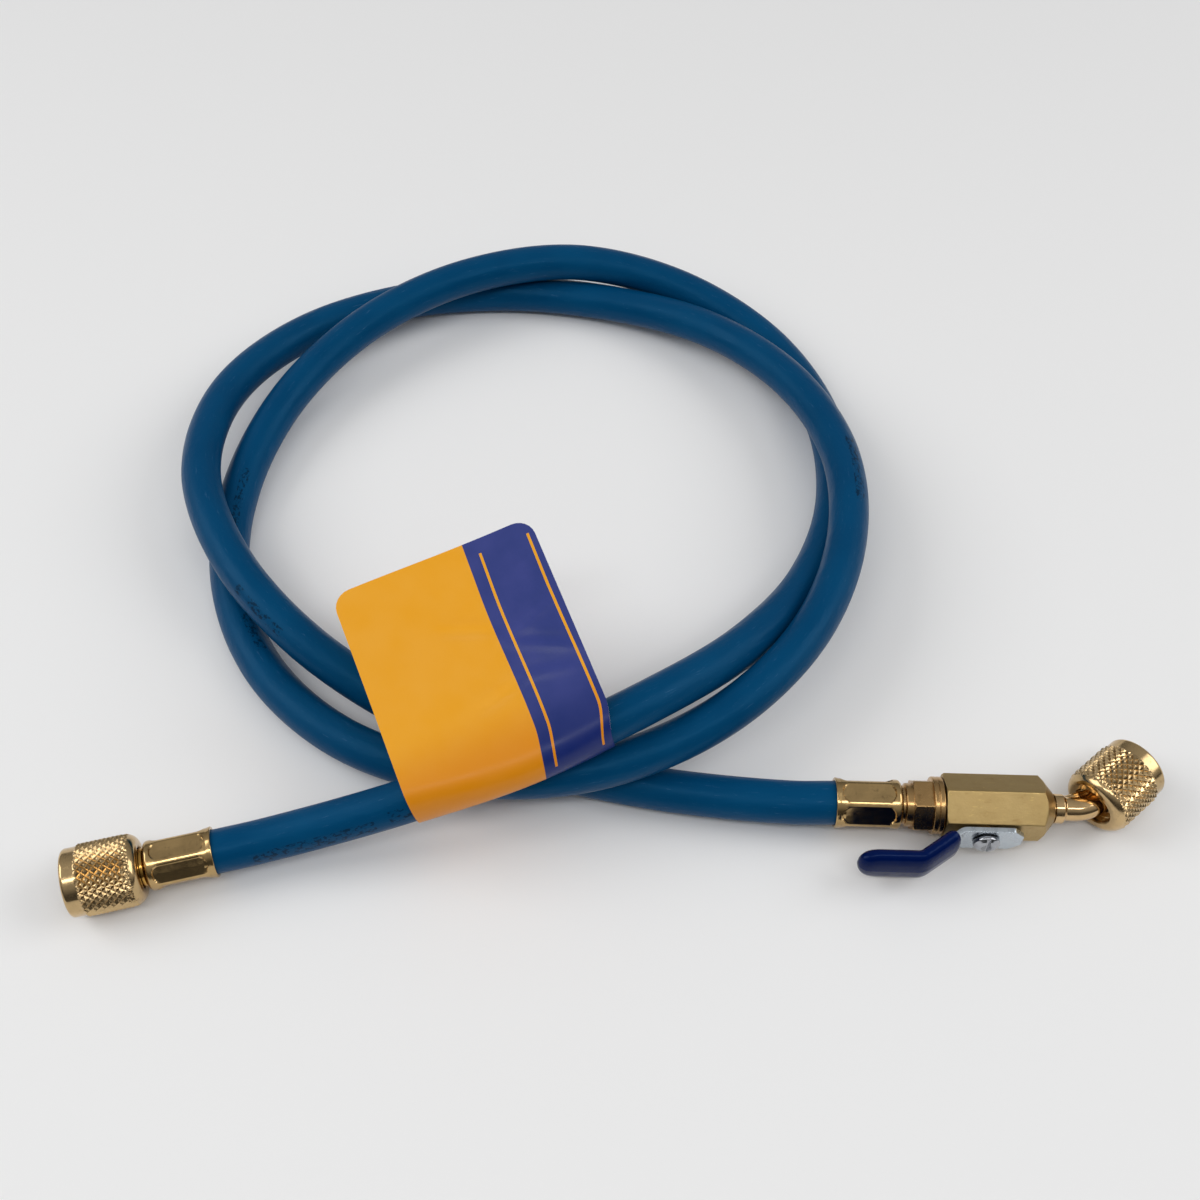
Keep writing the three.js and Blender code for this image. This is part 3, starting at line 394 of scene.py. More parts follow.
def drawn_aside(t, along):
    """How far the right side moves inwards, as the fold pulls its lower corner round"""
    outer_share = min(max((t - 4) / 24, 0), 1)
    front_half = min(max((along - drawn_from) / (drawn_full - drawn_from), 0), 1)
    back_half = min(max((drawn_end - along) / drawn_fade, 0), 1)
    ease = front_half * front_half * (3 - 2 * front_half) * back_half
    return -corner_drawn * outer_share**1.5 * ease


tag_half = tag_width / 2
tag_places = [(tag_half - tag_corner * (1 - math.cos(a)), tag_corner * (1 - math.sin(a)))
              for a in (math.radians(15 * i) for i in range(7))]
middle_width = tag_width - 2 * tag_corner
middle_places = [(middle_width * (i / 44 - 0.5), 0) for i in range(1, 44)]
tag_places = [(-t, drop) for t, drop in tag_places] + middle_places + tag_places[::-1]
tag_points, tag_made, tag_faces = [], [], []
for t, drop in tag_places:
    outer = tag_strip(t, drop, tag_paper)
    inner = tag_strip(t, drop, 0)
    for side, strip in ((1, outer), (0, inner[::-1])):
        for up, off, along in strip:
            shifted = t + drawn_aside(t, along)
            place = tag_centre + across_tag * shifted + up_tag * up + off_tag * (off + tag_wave(t, up))
            tag_points.append(place / 1000)
            tag_made.append((t, along, side))
ring = len(tag_points) // len(tag_places)
for row in range(len(tag_places) - 1):
    for i in range(ring):
        a, b = row * ring + i, row * ring + (i + 1) % ring
        tag_faces.append((a, b, b + ring, a + ring))
last_row = len(tag_points) - ring
for i in range(ring // 2 - 1):
    j = ring - 1 - i
    tag_faces.append((i, j, j - 1, i + 1))
    tag_faces.append((last_row + i, last_row + i + 1, last_row + j - 1, last_row + j))
tag = piece_from("hose_tag", tag_points, tag_faces, tag_made, sharp=40)

printed_card = Finish("printed_orange_card", IOR=1.45, Specular_IOR_Level=0.35)
on_card = printed_card.node("ShaderNodeSeparateXYZ", {}, {0: printed_card.as_made()})
down_card = Wire(printed_card, on_card.socket.node.outputs[1])
stripe_half_width = 0.37
# The band and the stripes bow outwards above the fold, and back at it
bow = (
    printed_card.between(down_card, 16, 54, 0.0, 1.5)
    - printed_card.between(down_card, 54, 72, 0.0, 1.9)
)
band_edge = 8.9 - 0.03 * down_card + bow
in_band = printed_card.between(on_card - band_edge, -0.08, 0.08)
first_stripe = (on_card - (12.7 - 0.036 * down_card + bow)).size() < stripe_half_width
second_stripe = (on_card - (26.2 - 0.018 * down_card + bow * 0.6)).size() < stripe_half_width
in_length = (down_card > 4.2) * (down_card < 66.5)
card_mottle = printed_card.speckle(printed_card.as_made(), 0.11, 4.0)
card_grain = printed_card.speckle(printed_card.as_made(), 3.0, 3.0)
# Painted shade: towards the fold and past it, the orange and the navy are mixed with darker, deeper
# tones where the card curves away from the light.
painted_fold_shade = printed_card.between(down_card, 43, 60, 0.0, 0.8)
orange_ink_with_fold_shade = printed_card.blend(
    painted_fold_shade, printed_card.blend(card_mottle, seen(244, 166, 12), seen(246, 174, 46)), seen(222, 132, 0)
)
navy_ink_with_fold_shade = printed_card.blend(
    painted_fold_shade, printed_card.blend(card_mottle, seen(38, 56, 120), seen(62, 70, 144)), seen(0, 30, 102)
)
printed_card.feed(
    Base_Color=printed_card.blend(
        (first_stripe + second_stripe) * in_length,
        printed_card.blend(in_band, orange_ink_with_fold_shade, navy_ink_with_fold_shade),
        orange_ink_with_fold_shade,
    ),
    Roughness=printed_card.between(card_mottle, 0.3, 0.7, 0.3, 0.42),
    Normal=printed_card.relief(card_grain, 0.00001),
)
card_core = Finish("pale_card_core", Roughness=0.8)
card_core.feed(
    Base_Color=card_core.blend(
        card_core.speckle(card_core.as_made(), 2.0), seen(236, 226, 210), seen(246, 240, 228)
    )
)
tag.data.materials.append(printed_card.material)
tag.data.materials.append(card_core.material)
for polygon in tag.data.polygons:
    sides_printed = [tag_made[v][2] for v in polygon.vertices]
    polygon.material_index = 0 if all(sides_printed) else 1
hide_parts("tag")
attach(tag, "hose_and_valve")
[point / 1000 for point in hose_line]

# Coupler nuts: turned from brass bar with a plain nose, a diamond knurl to grip by hand and a rounded
# back, and threaded 7/16-20 inside. Each spins on its stem's head. Both have the same drawing.
nut_knurl_radius, nut_nose_radius, nut_back_radius = 9.45, 8.9, 6.7
nut_length, nut_nose_length, nut_shoulder = 19.0, 3.8, 3.8
knurl_start, knurl_count, knurl_repeats, knurl_depth, knurl_point = 4.35, 29, 5, 0.55, 0.84
knurl_pitch = (nut_length - nut_shoulder - knurl_start) / knurl_repeats
thread_pitch, thread_end, thread_radius, thread_depth = 1.27, 6.8, 4.95, 0.6
nut_nose_round, nut_bore_end, nut_web_end = 1.0, 13.2, 16.5
nut_relief_radius, nut_web_radius, nut_back_bore_radius = 5.3, 3.53, 5.4
axis_height = 9.45


def softened(outline, steps=4):
    """A closed outline of (along, radius) with each corner that states a rounding made round"""
    soft = []
    for i, (x, r, *rounding) in enumerate(outline):
        corner = Vector((x, r))
        if not rounding:
            soft.append((x, r))
            continue
        before = (Vector(outline[i - 1][:2]) - corner).normalized()
        after = (Vector(outline[(i + 1) % len(outline)][:2]) - corner).normalized()
        half = before.angle(after) / 2
        middle = corner + (before + after).normalized() * rounding[0] / math.sin(half)
        first = corner + before * rounding[0] / math.tan(half) - middle
        last = corner + after * rounding[0] / math.tan(half) - middle
        for step in range(steps + 1):
            swing = first.lerp(last, step / steps).normalized() * rounding[0]
            soft.append(tuple(middle + swing))
    return soft


def divided(outline, spacing, low, high):
    """The outline with more points on its outer side between two places along it"""
    fine = []
    for (x, r), (next_x, next_r) in zip(outline, outline[1:] + outline[:1]):
        fine.append((x, r))
        run = abs(next_x - x)
        if low <= min(x, next_x) and max(x, next_x) <= high and run > spacing:
            pieces = math.ceil(run / spacing)
            fine += [
                (x + (next_x - x) * i / pieces, r + (next_r - r) * i / pieces)
                for i in range(1, pieces)
            ]
    return fine


def turned(name, outline, sides, place, shape=None, sharp=32):
    """A piece turned about its X axis from a closed outline; shape may cut into its radius"""
    angles = sides if isinstance(sides, list) else [math.tau * i / sides for i in range(sides)]
    points, made, rings = [], [], []
    for x, radius in outline:
        ring = []
        for angle in angles:
            if radius or not ring:
                r = shape(x, radius, angle) if shape else radius
                local = Vector((x, r * math.cos(angle), r * math.sin(angle)))
                made.append(local)
                points.append(place(local))
            ring.append(len(points) - 1)
        rings.append(ring)
    faces = []
    for ring, next_ring in zip(rings, rings[1:] + rings[:1]):
        for i in range(len(angles)):
            j = (i + 1) % len(angles)
            corners = list(dict.fromkeys((ring[i], ring[j], next_ring[j], next_ring[i])))
            radii = [math.hypot(made[c].y, made[c].z) for c in corners]
            if len(corners) == 4 and abs(radii[0] + radii[2] - radii[1] - radii[3]) > 0.02:
                turn = 0 if radii[0] + radii[2] < radii[1] + radii[3] else 1
                a, b, c, d = corners[turn:] + corners[:turn]
                faces += [(a, b, c), (a, c, d)]
            elif len(corners) > 2:
                faces.append(corners)
    piece = piece_from(name, points, faces, made, sharp)
    piece.modifiers.new("even_shine", "WEIGHTED_NORMAL").keep_sharp = True
    return piece


def placed(x, y, turn=0.0):
    """Takes a fitting's own millimetres to where it lies on the floor, in metres"""
    spot = Matrix.Translation((x / 1000, y / 1000, axis_height / 1000))
    whole = spot @ Matrix.Rotation(turn, 4, "Z") @ Matrix.Scale(0.001, 4)
    return lambda local: whole @ local


def knurled_and_threaded(x, radius, angle):
    """Cuts the two crossing sets of knurl grooves outside and the right-hand thread inside"""
    if radius > nut_nose_radius + 0.02 and x > nut_nose_length:
        around = knurl_count * angle / math.tau
        along = (x - knurl_start) / knurl_pitch
        to_groove = min(abs(g - round(g)) for g in (around + along, around - along))
        diamond = min(2 * to_groove / knurl_point, 1)
        return min(radius, nut_knurl_radius - knurl_depth * (1 - diamond))
    if thread_radius - 0.01 <= radius < 5.8 and x <= thread_end:
        turn = x / thread_pitch - angle / math.tau
        flank = 1 - abs(2 * (turn - math.floor(turn)) - 1)
        return max(radius, thread_radius + thread_depth * min(max((flank - 0.15) / 0.7, 0), 1))
    return radius


shoulder_arc = []
for step in range(15):
    turn = math.pi / 2 * step / 14
    shoulder_arc.append((
        nut_length - nut_shoulder * (1 - math.cos(turn)),
        nut_back_radius + (nut_knurl_radius - nut_back_radius) * math.sin(turn),
    ))
nose_arc = [
    (nut_nose_round - math.sin(a), nut_nose_radius - nut_nose_round + math.cos(a))
    for a in (math.radians(10 * i) for i in range(10))
]
knurl_line = [
    (nut_length - nut_shoulder - knurl_pitch * i / 8, nut_knurl_radius)
    for i in range(1, 8 * knurl_repeats + 1)
]
bore_line = [(x / 10, thread_radius) for x in range(9, 68)]
mouth_line = [(x / 10, 5.75 - x / 10) for x in range(9)]
nut_outline = (
    mouth_line
    + bore_line
    + [(thread_end, thread_radius), (thread_end, nut_relief_radius)]
    + [(nut_bore_end, nut_relief_radius), (nut_bore_end, nut_web_radius + 0.15)]
    + [(nut_bore_end + 0.15, nut_web_radius), (nut_web_end - 0.2, nut_web_radius)]
    + [(nut_web_end, nut_web_radius + 0.17), (nut_web_end, nut_back_bore_radius - 0.2)]
    + [(nut_web_end + 0.2, nut_back_bore_radius), (nut_length - 0.3, nut_back_bore_radius)]
    + [(nut_length, nut_back_bore_radius + 0.3), (nut_length, nut_back_radius - 0.3)]
    + shoulder_arc
    + knurl_line
    + [(nut_nose_length + 0.05, nut_nose_radius + 0.03), (nut_nose_length - 0.15, nut_nose_radius)]
    + nose_arc
    + [(0.0, 6.1), (0.03, 5.9)]
)
straight_place = placed(-141.5, -20.19, math.radians(15.4))
angled_place = placed(138.107, 22.358, math.radians(222))
straight_nut, angled_nut = (
    turned(name, nut_outline, 8 * knurl_count, place, knurled_and_threaded, 28)
    for name, place in (("knurled_nut_straight", straight_place), ("knurled_nut_angled", angled_place))
)


def brass(name, light, dark, smooth, rough, ring_depth, stain=0.35):
    """Brass with turning rings, a slow change of tone, and stains where hands and air darkened it"""
    metal = Finish(name, Metallic=1.0)
    tone = metal.speckle(metal.as_made(), 0.16, 3.0, 0.6)
    stains = metal.speckle(metal.as_made(), 0.55, 5.0, 0.65)
    rings = metal.speckle(metal.as_made(14.0, 0.5, 0.5), 1.0, 3.0)
    pits = metal.speckle(metal.as_made(), 5.0, 2.0)
    metal.feed(
        Base_Color=metal.blend(
            metal.between(stains, 0.55, 0.75, 0.0, stain),
            metal.blend(metal.between(tone, 0.3, 0.7), light, [0.82 * c for c in light[:3]] + [1]),
            dark,
        ),
        Roughness=metal.between(stains, 0.35, 0.75, smooth, rough),
        Normal=metal.relief(pits, 0.000004, metal.relief(rings, ring_depth)),
    )
    return metal.material


nut_brass = brass("knurled_nut_brass", seen(208, 178, 130), seen(118, 92, 62), 0.13, 0.26, 0.000004, 0.5)
for nut, node, body in (
    (straight_nut, "straight_nut", "straight_coupler"),
    (angled_nut, "angle_nut", "angled_coupler"),
):
    nut.data.materials.append(nut_brass)
    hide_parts(node)
    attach(nut, body)

# Washers: black rubber rings that seal on the port. One lies in each nut, in front of the stem's head.
seal_rubber = Finish("black_seal_rubber", Roughness=0.7)
seal_rubber.feed(
    Base_Color=seal_rubber.blend(
        seal_rubber.speckle(seal_rubber.as_made(), 1.5, 4.0), seen(18, 18, 19), seen(38, 38, 40)
    ),
    Normal=seal_rubber.relief(seal_rubber.speckle(seal_rubber.as_made(), 6.0), 0.00002),
)
washer_outline = softened([(7.1, 2.2, 0.4), (9.4, 2.2, 0.2), (9.4, 4.6, 0.3), (7.1, 4.6, 0.6)])
for name, node, place in (
    ("seal_washer_straight", "straight_washer", straight_place),
    ("seal_washer_angled", "angle_washer", angled_place),
):
    washer = turned(name, washer_outline, 48, place)
    washer.data.materials.append(seal_rubber.material)
    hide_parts(node)
    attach(washer, "hose_and_valve")

# Stem of the straight end: a turned brass tube. Its head holds the nut, its collar shows between the
# nut and the ferrule, and its barbed tail is inside the hose.
stem_outline = softened([
    (9.7, 1.5, 0.2), (37.6, 1.5), (37.6, 2.5, 0.3), (20.0, 2.5), (20.0, 5.0, 0.4), (16.8, 5.0, 0.3),
    (16.8, 3.175), (12.9, 3.175), (12.9, 4.6, 0.2), (9.7, 4.6, 0.3),
])
stem = turned("coupler_stem", stem_outline, 64, straight_place)
stem_brass = brass("stem_brass", seen(206, 162, 84), seen(120, 82, 34), 0.14, 0.3, 0.000003)
stem.data.materials.append(stem_brass)
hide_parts("straight_stem")
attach(stem, "hose_and_valve")

# Ferrules: brass cups pressed onto the hose's ends. Six jaws leave six long flats with round ends and
# polished ridges between them, and the mouth flares where the hose goes in.
ferrule_length, ferrule_flat = 17.3, 5.85
window_start, window_end, window_half, window_round, window_dish = 1.7, 15.6, 2.8, 2.0, 0.12


def crimped(first_window):
    """Presses six windows with round ends into the cup's wall, the first one at the given angle"""

    def shape(x, radius, angle):
        past_end = min(x - window_start, window_end - x)
        if radius < 6.2 or past_end <= 0:
            return radius
        around = (angle - first_window + math.pi / 6) % (math.pi / 3) - math.pi / 6
        half = window_half * math.sqrt(1 - (1 - min(past_end / window_round, 1)) ** 2)
        inside = half - abs(radius * math.sin(around))
        edge = min(max(inside / 0.35, 0), 1)
        flat = ferrule_flat / math.cos(around) - window_dish * min(max(inside / window_half, 0), 1)
        return radius - max(radius - flat, 0) * edge * edge * (3 - 2 * edge)

    return shape


ferrule_outline = divided(
    softened([
        (0.0, 2.8), (14.7, 2.8), (14.7, 5.9), (17.3, 5.9, 0.15), (17.3, 6.75, 0.25), (16.0, 6.5, 1.0),
        (0.0, 6.5, 1.0),
    ], 6),
    0.22, 0.9, 16.0,
)
ferrule_brass = brass("ferrule_brass", seen(200, 168, 116), seen(100, 76, 48), 0.13, 0.24, 0.000002, 0.5)
valve_place = placed(55.84, 8.74)
ferrule_turned_round = lambda local: valve_place(Vector((ferrule_length - local.x, local.y, -local.z)))
straight_ferrule_place = lambda local: straight_place(local + Vector((20.3, 0, 0)))
for name, node, place, first_window in (
    ("crimped_ferrule_straight", "straight_ferrule", straight_ferrule_place, math.radians(84)),
    ("crimped_ferrule_valve", "valve_ferrule", ferrule_turned_round, math.radians(90)),
):
    ferrule = turned(name, ferrule_outline, 144, place, crimped(first_window))
    ferrule.data.materials.append(ferrule_brass)
    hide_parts(node)
    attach(ferrule, "hose_and_valve")


# Adapter: turned and milled brass between the hose and the valve, with a barb in the hose, a neck and
# ring, a small hexagon for a spanner, and a flange that seats on the valve's body.
def hexagonal(flats, first_flat, low, high):
    """Mills six flats between two places along the bar, with slightly softened corners"""

    def shape(x, radius, angle):
        if radius < flats / 2 or not low < x < high:
            return radius
        around = (angle - first_flat + math.pi / 6) % (math.pi / 3) - math.pi / 6
        near = flats / 2 / math.cos(around)
        beside = flats / 2 / math.cos(math.pi / 3 - abs(around))
        overlap = max(0.25 - abs(near - beside), 0)
        flat = min(near, beside) - overlap * overlap
        return min(flat, radius)

    return shape


def corner_angles(first_flat):
    """Angles round a hexagonal bar that lie closer together at its six corners"""
    steps = (0, 0.5, 1.1, 1.9, 3, 5, 8, 12, 17, 23.5, 30)
    half = [math.radians(step) for step in steps]
    sector = half + [math.radians(60) - a for a in half[-2:0:-1]]
    return [first_flat + math.pi / 6 + math.pi / 3 * k + a for k in range(6) for a in sector]


adapter_outline = divided(
    softened([
        (0.0, 1.5), (32.75, 1.5), (32.75, 4.0, 0.3), (28.15, 4.0), (28.15, 7.6, 0.35), (26.9, 7.6, 0.2),
        (26.7, 7.35, 0.1), (26.5, 7.6, 0.2), (25.3, 7.6, 0.35), (25.3, 7.33), (20.65, 7.33),
        (20.2, 6.85), (20.2, 5.75), (20.0, 5.7, 0.4), (18.5, 5.7, 0.4), (18.2, 5.1, 0.2),
        (17.6, 5.1), (17.6, 2.5), (0.0, 2.5, 0.2),
    ]),
    0.12, 20.15, 25.35,
)
adapter = turned(
    "hose_adapter_hex", adapter_outline, corner_angles(math.pi / 2), valve_place,
    hexagonal(12.7, math.pi / 2, 20.15, 25.29),
)
adapter_brass = brass("adapter_brass", seen(194, 156, 104), seen(96, 70, 42), 0.2, 0.32, 0.000003, 0.4)
adapter.data.materials.append(adapter_brass)
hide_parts("hose_adapter")
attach(adapter, "hose_and_valve")

# Valve body: hexagonal brass bar, turned to a cone at its outlet and bored for the ball. A crosswise
# hole takes the lever's shaft. Its rolled faces are satin, with stains and faint wear left by use.
body_start, body_hex_end, body_end, ball_x = 28.45, 53.6, 57.35, 38.95
body_flats, body_corner_radius, body_bore, shaft_hole_radius = 15.0, 8.66, 4.3, 2.65
ball_room = [
    (ball_x + 4.8 * math.sin(a), 4.8 * math.cos(a))
    for a in (math.radians(d) for d in range(-26, 27, 4))
]
body_outline = divided(
    [(body_start, body_bore)]
    + ball_room
    + [(44.55, body_bore), (44.55, 2.4), (54.35, 2.4), (54.35, 3.475), (body_end, 3.475)]
    + softened([
        (body_end, 4.1, 0.15), (body_hex_end, body_corner_radius, 0.4),
        (body_start + 0.5, body_corner_radius), (body_start, body_corner_radius - 0.5),
        (body_start, body_bore),
    ]),
    0.16, body_hex_end - 0.8, body_end - 0.1,
)
body_outline = divided(body_outline, 0.1, body_start - 0.1, body_start + 0.6)
body = turned(
    "valve_body_hex", body_outline, corner_angles(0.0), valve_place,
    hexagonal(body_flats, 0.0, body_start - 0.1, body_end - 0.1),
)


def bored(piece, cutters):
    """The piece with the cutters' shapes taken out of it"""
    for cutter in cutters:
        cut = piece.modifiers.new("cut", "BOOLEAN")
        cut.operation = "DIFFERENCE"
        cut.solver = "EXACT"
        cut.object = cutter
    bpy.context.view_layer.update()
    mesh = bpy.data.meshes.new_from_object(
        piece.evaluated_get(bpy.context.evaluated_depsgraph_get())
    )
    piece.modifiers.clear()
    piece.data = mesh
    for cutter in cutters:
        bpy.data.objects.remove(cutter)
    mesh.set_sharp_from_angle(angle=math.radians(32))
    piece.modifiers.new("even_shine", "WEIGHTED_NORMAL").keep_sharp = True


def across_valve(local):
    """Takes a piece that was turned about X to the ball's centre, pointing out to the lever"""
    return valve_place(Vector((ball_x + local.y, -local.x, local.z)))


hole_outline = [(1.0, 0.0), (1.0, shaft_hole_radius), (9.0, shaft_hole_radius), (9.0, 0.0)]
shaft_hole = turned("shaft_hole", hole_outline, 48, across_valve)
bored(body, [shaft_hole])
body_brass = Finish("satin_body_brass", Metallic=1.0)
body_tone = body_brass.speckle(body_brass.as_made(), 0.12, 3.0, 0.6)
body_stains = body_brass.speckle(body_brass.as_made(0.6, 1.0, 1.0), 0.5, 6.0, 0.7)
body_drawn = body_brass.speckle(body_brass.as_made(0.2, 3.0, 3.0), 1.2, 3.0)
body_dents = body_brass.speckle(body_brass.as_made(), 0.9, 4.0, 0.55)
body_worn = body_brass.speckle(body_brass.as_made(0.35, 1.6, 1.6), 1.1, 6.0, 0.75)
body_brass.feed(
    Base_Color=body_brass.blend(
        body_brass.between(body_worn, 0.6, 0.68, 0.0, 0.55),
        body_brass.blend(
            body_brass.between(body_stains, 0.55, 0.72, 0.0, 0.45),
            body_brass.blend(body_tone, seen(182, 158, 108), seen(172, 144, 94)),
            seen(160, 128, 80),
        ),
        seen(226, 196, 122),
    ),
    Roughness=body_brass.between(body_stains, 0.35, 0.7, 0.34, 0.46),
    Normal=body_brass.relief(
        body_drawn, 0.000006, body_brass.relief(body_dents, 0.00003)
    ),
)
body.data.materials.append(body_brass.material)
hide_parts("valve_body")
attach(body, "hose_and_valve")

# Inside the valve: white seats, a polished ball and the brass shaft that turns it. They keep their
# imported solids, which can be seen only down the bores and beside the lever.
seat_white = Finish("white_seat_plastic", Roughness=0.45)
seat_white.feed(
    Base_Color=seat_white.blend(
        seat_white.node("ShaderNodeTexNoise", {}, {"Scale": 900.0}),
        seen(236, 234, 228),
        seen(246, 244, 240),
    )
)
ball_chrome = Finish("polished_ball", Metallic=1.0, Base_Color=seen(206, 210, 214))
ball_chrome.feed(
    Roughness=ball_chrome.between(
        ball_chrome.node("ShaderNodeTexNoise", {}, {"Scale": 700.0, "Detail": 4.0}), 0.3, 0.7, 0.06, 0.14
    )
)
shaft_brass = Finish("valve_shaft_brass", Metallic=1.0)
shaft_brass.feed(
    Base_Color=shaft_brass.blend(
        shaft_brass.node("ShaderNodeTexNoise", {}, {"Scale": 500.0, "Detail": 3.0}),
        seen(200, 160, 96),
        seen(176, 132, 74),
    ),
    Roughness=shaft_brass.between(
        shaft_brass.node("ShaderNodeTexNoise", {}, {"Scale": 1200.0}), 0.3, 0.7, 0.2, 0.34
    ),
)
for node, finish in (
    ("ball_seat_inlet", seat_white),
    ("ball_seat_outlet", seat_white),
    ("valve_ball", ball_chrome),
    ("valve_shaft", shaft_brass),
):
    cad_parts[node].data.materials.clear()
    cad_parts[node].data.materials.append(finish.material)

# Outlet tube: brass tube soldered into the body's cone, with a ring at its root, bent by 42 degrees
# towards the port, and ending in a head that holds the second nut.
tube_bend_start, tube_bend_radius, tube_bend = 62.92, 11.0, math.radians(42)
tube_bend_length = tube_bend_radius * tube_bend
tube_head = tube_bend_start + tube_bend_length + 3.23


def along_tube(local):
    """Bends a straight tube's points round to where the outlet lies"""
    past = local.x - tube_bend_start
    turn = min(max(past / tube_bend_radius, 0), tube_bend)
    straight = past if past < 0 else max(past - tube_bend_length, 0)
    x = tube_bend_start + tube_bend_radius * math.sin(turn) + straight * math.cos(turn)
    y = tube_bend_radius * (1 - math.cos(turn)) + straight * math.sin(turn)
    return valve_place(Vector((x - local.y * math.sin(turn), y + local.y * math.cos(turn), local.z)))


tube_outline = divided(
    softened([
        (54.65, 1.5), (tube_head + 3.2, 1.5, 0.2), (tube_head + 3.2, 4.6, 0.3), (tube_head, 4.6, 0.2),
        (tube_head, 3.175), (60.5, 3.175, 0.5), (59.95, 3.9, 0.4), (57.65, 3.9, 0.2), (57.65, 3.175),
        (54.65, 3.175),
    ]),
    0.5, 59.0, tube_head + 0.1,
)
outlet_tube = turned("bent_outlet_tube", tube_outline, 64, along_tube)
tube_brass = brass("outlet_tube_brass", seen(218, 184, 134), seen(120, 90, 56), 0.1, 0.2, 0.000001)
outlet_tube.data.materials.append(tube_brass)
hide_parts("angle_tube")
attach(outlet_tube, "hose_and_valve")

# Core depressor: a brass pin with crossed fins, pushed into the tube's head, that opens the valve
# core of the port.
pin_outline = softened([(6.4, 0.0), (6.4, 0.9, 0.35), (12.6, 0.9, 0.2), (12.6, 0.0)])
depressor = turned("core_depressor_pin", pin_outline, 32, angled_place)
fins = bmesh.new()
fins.from_mesh(depressor.data)
for turn in (0, math.pi / 2):
    fin = bmesh.ops.create_cube(fins, size=1)["verts"]
    for vert in fin:
        flat = Vector((11.15 + 2.9 * vert.co.x, 2.4 * vert.co.y, 0.6 * vert.co.z))
        vert.co = angled_place(Matrix.Rotation(turn, 3, "X") @ flat)
fins.to_mesh(depressor.data)
fins.free()
depressor.data.materials.append(stem_brass)
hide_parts("core_depressor")
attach(depressor, "hose_and_valve")

# Lever: a punched strip of plated steel, bent away from the hose, on the flats of the valve's shaft.
# Its outer part is dipped in dark blue vinyl, which runs thick and glossy over the edges.
plate_thickness, plate_half_width, plate_tail, plate_corner = 1.5, 4.75, 9.4, 2.6
lever_middle = 9.05
bend_start, bend_run, bend_rise, lever_reach = 6.4, 11.0, 8.0, 33.95
grip_wall, grip_pocket_gap, grip_swell, grip_start = 0.9, 0.3, 0.5, 2.2


def lever_line(tip):
    """The strip's middle line seen from above, from its tail to a tip, with both bends rounded"""
    corners = [
        (plate_tail, -lever_middle), (-bend_start, -lever_middle, 3.4),
        (-bend_start - bend_run, -lever_middle - bend_rise, 3.4), (-tip, -lever_middle - bend_rise),
    ]
    return evenly([Vector((x, y, 0)) for x, y in softened(corners, 8)], 0.35)


def lofted(line, section, half_width, start=0.0):
    """Rings of a section (across, out) along the lever's line, for the stretch after start"""
    rings, along = [], 0
    for i, point in enumerate(line):
        ahead = (line[min(i + 1, len(line) - 1)] - line[max(i - 1, 0)]).normalized()
        out = Vector((-ahead.y, ahead.x, 0))
        along += (point - line[max(i - 1, 0)]).length
        if along >= start:
            rings.append([
                (point + out * o + Vector((0, 0, w)), (along, w, o))
                for w, o in section(half_width(along), along)
            ])
    return rings


def rounded_bar(half_width, half_thickness, rounding):
    """A rectangle with round corners, as points (across, out)"""
    points = []
    for quarter in range(4):
        w_sign = (1, -1, -1, 1)[quarter]
        o_sign = (1, 1, -1, -1)[quarter]
        for step in range(5):
            turn = math.pi / 2 * (quarter + step / 4)
            points.append((
                w_sign * (half_width - rounding) + rounding * math.cos(turn),
                o_sign * (half_thickness - rounding) + rounding * math.sin(turn),
            ))
    return points


def skin_over(name, rings, sharp=32):
    """A closed piece over rings, its first and last ring filled, on the lever's side of the valve"""
    points, made, faces = [], [], []
    for ring in rings:
        for spot, place in ring:
            points.append(valve_place(spot + Vector((ball_x, 0, 0))))
            made.append(place)
    count = len(rings[0])
    for row in range(len(rings) - 1):
        for i in range(count):
            a, b = row * count + i, row * count + (i + 1) % count
            faces.append((a, b, b + count, a + count))
    faces.append(tuple(range(count)))
    faces.append(tuple(range(len(points) - count, len(points))))
    piece = piece_from(name, points, faces, made, sharp)
    piece.modifiers.new("even_shine", "WEIGHTED_NORMAL").keep_sharp = True
    return piece


plate_tip = lever_reach - grip_wall - grip_pocket_gap
plate_line = lever_line(plate_tip)
plate_length = sum((b - a).length for a, b in zip(plate_line, plate_line[1:]))


def plate_width_at(along):
    """Half the strip's width: clipped corners at the tail, a round tip"""
    left = plate_length - along
    if along < plate_corner:
        return plate_half_width - plate_corner + along
    if left < plate_half_width:
        return max(math.sqrt(plate_half_width**2 - (plate_half_width - left) ** 2), 0.3)
    return plate_half_width


plate = skin_over(
    "lever_strip",
    lofted(plate_line, lambda half, along: rounded_bar(half, plate_thickness / 2, 0.16), plate_width_at),
)
zinc = Finish("zinc_plated_steel", Metallic=1.0)
zinc_cloud = zinc.speckle(zinc.as_made(), 0.35, 5.0, 0.6)
zinc_fine = zinc.speckle(zinc.as_made(), 4.0, 3.0)
zinc.feed(
    Base_Color=zinc.blend(zinc_cloud, seen(178, 186, 194), seen(204, 212, 218)),
    Roughness=zinc.between(zinc_cloud, 0.3, 0.7, 0.2, 0.36),
    Normal=zinc.relief(zinc_fine, 0.000006, zinc.relief(zinc_cloud, 0.00002)),
)
plate.data.materials.append(zinc.material)
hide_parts("lever_plate")

grip_half = plate_half_width + grip_pocket_gap + grip_wall
grip_thick = plate_thickness / 2 + grip_pocket_gap + grip_wall + grip_swell
grip_line = lever_line(lever_reach)
grip_length = sum((b - a).length for a, b in zip(grip_line, grip_line[1:]))
grip_mouth = plate_tail + bend_start + grip_start


def tip_share(left, reach):
    return math.sqrt(max(1 - (1 - min(left / reach, 1)) ** 2, 0))


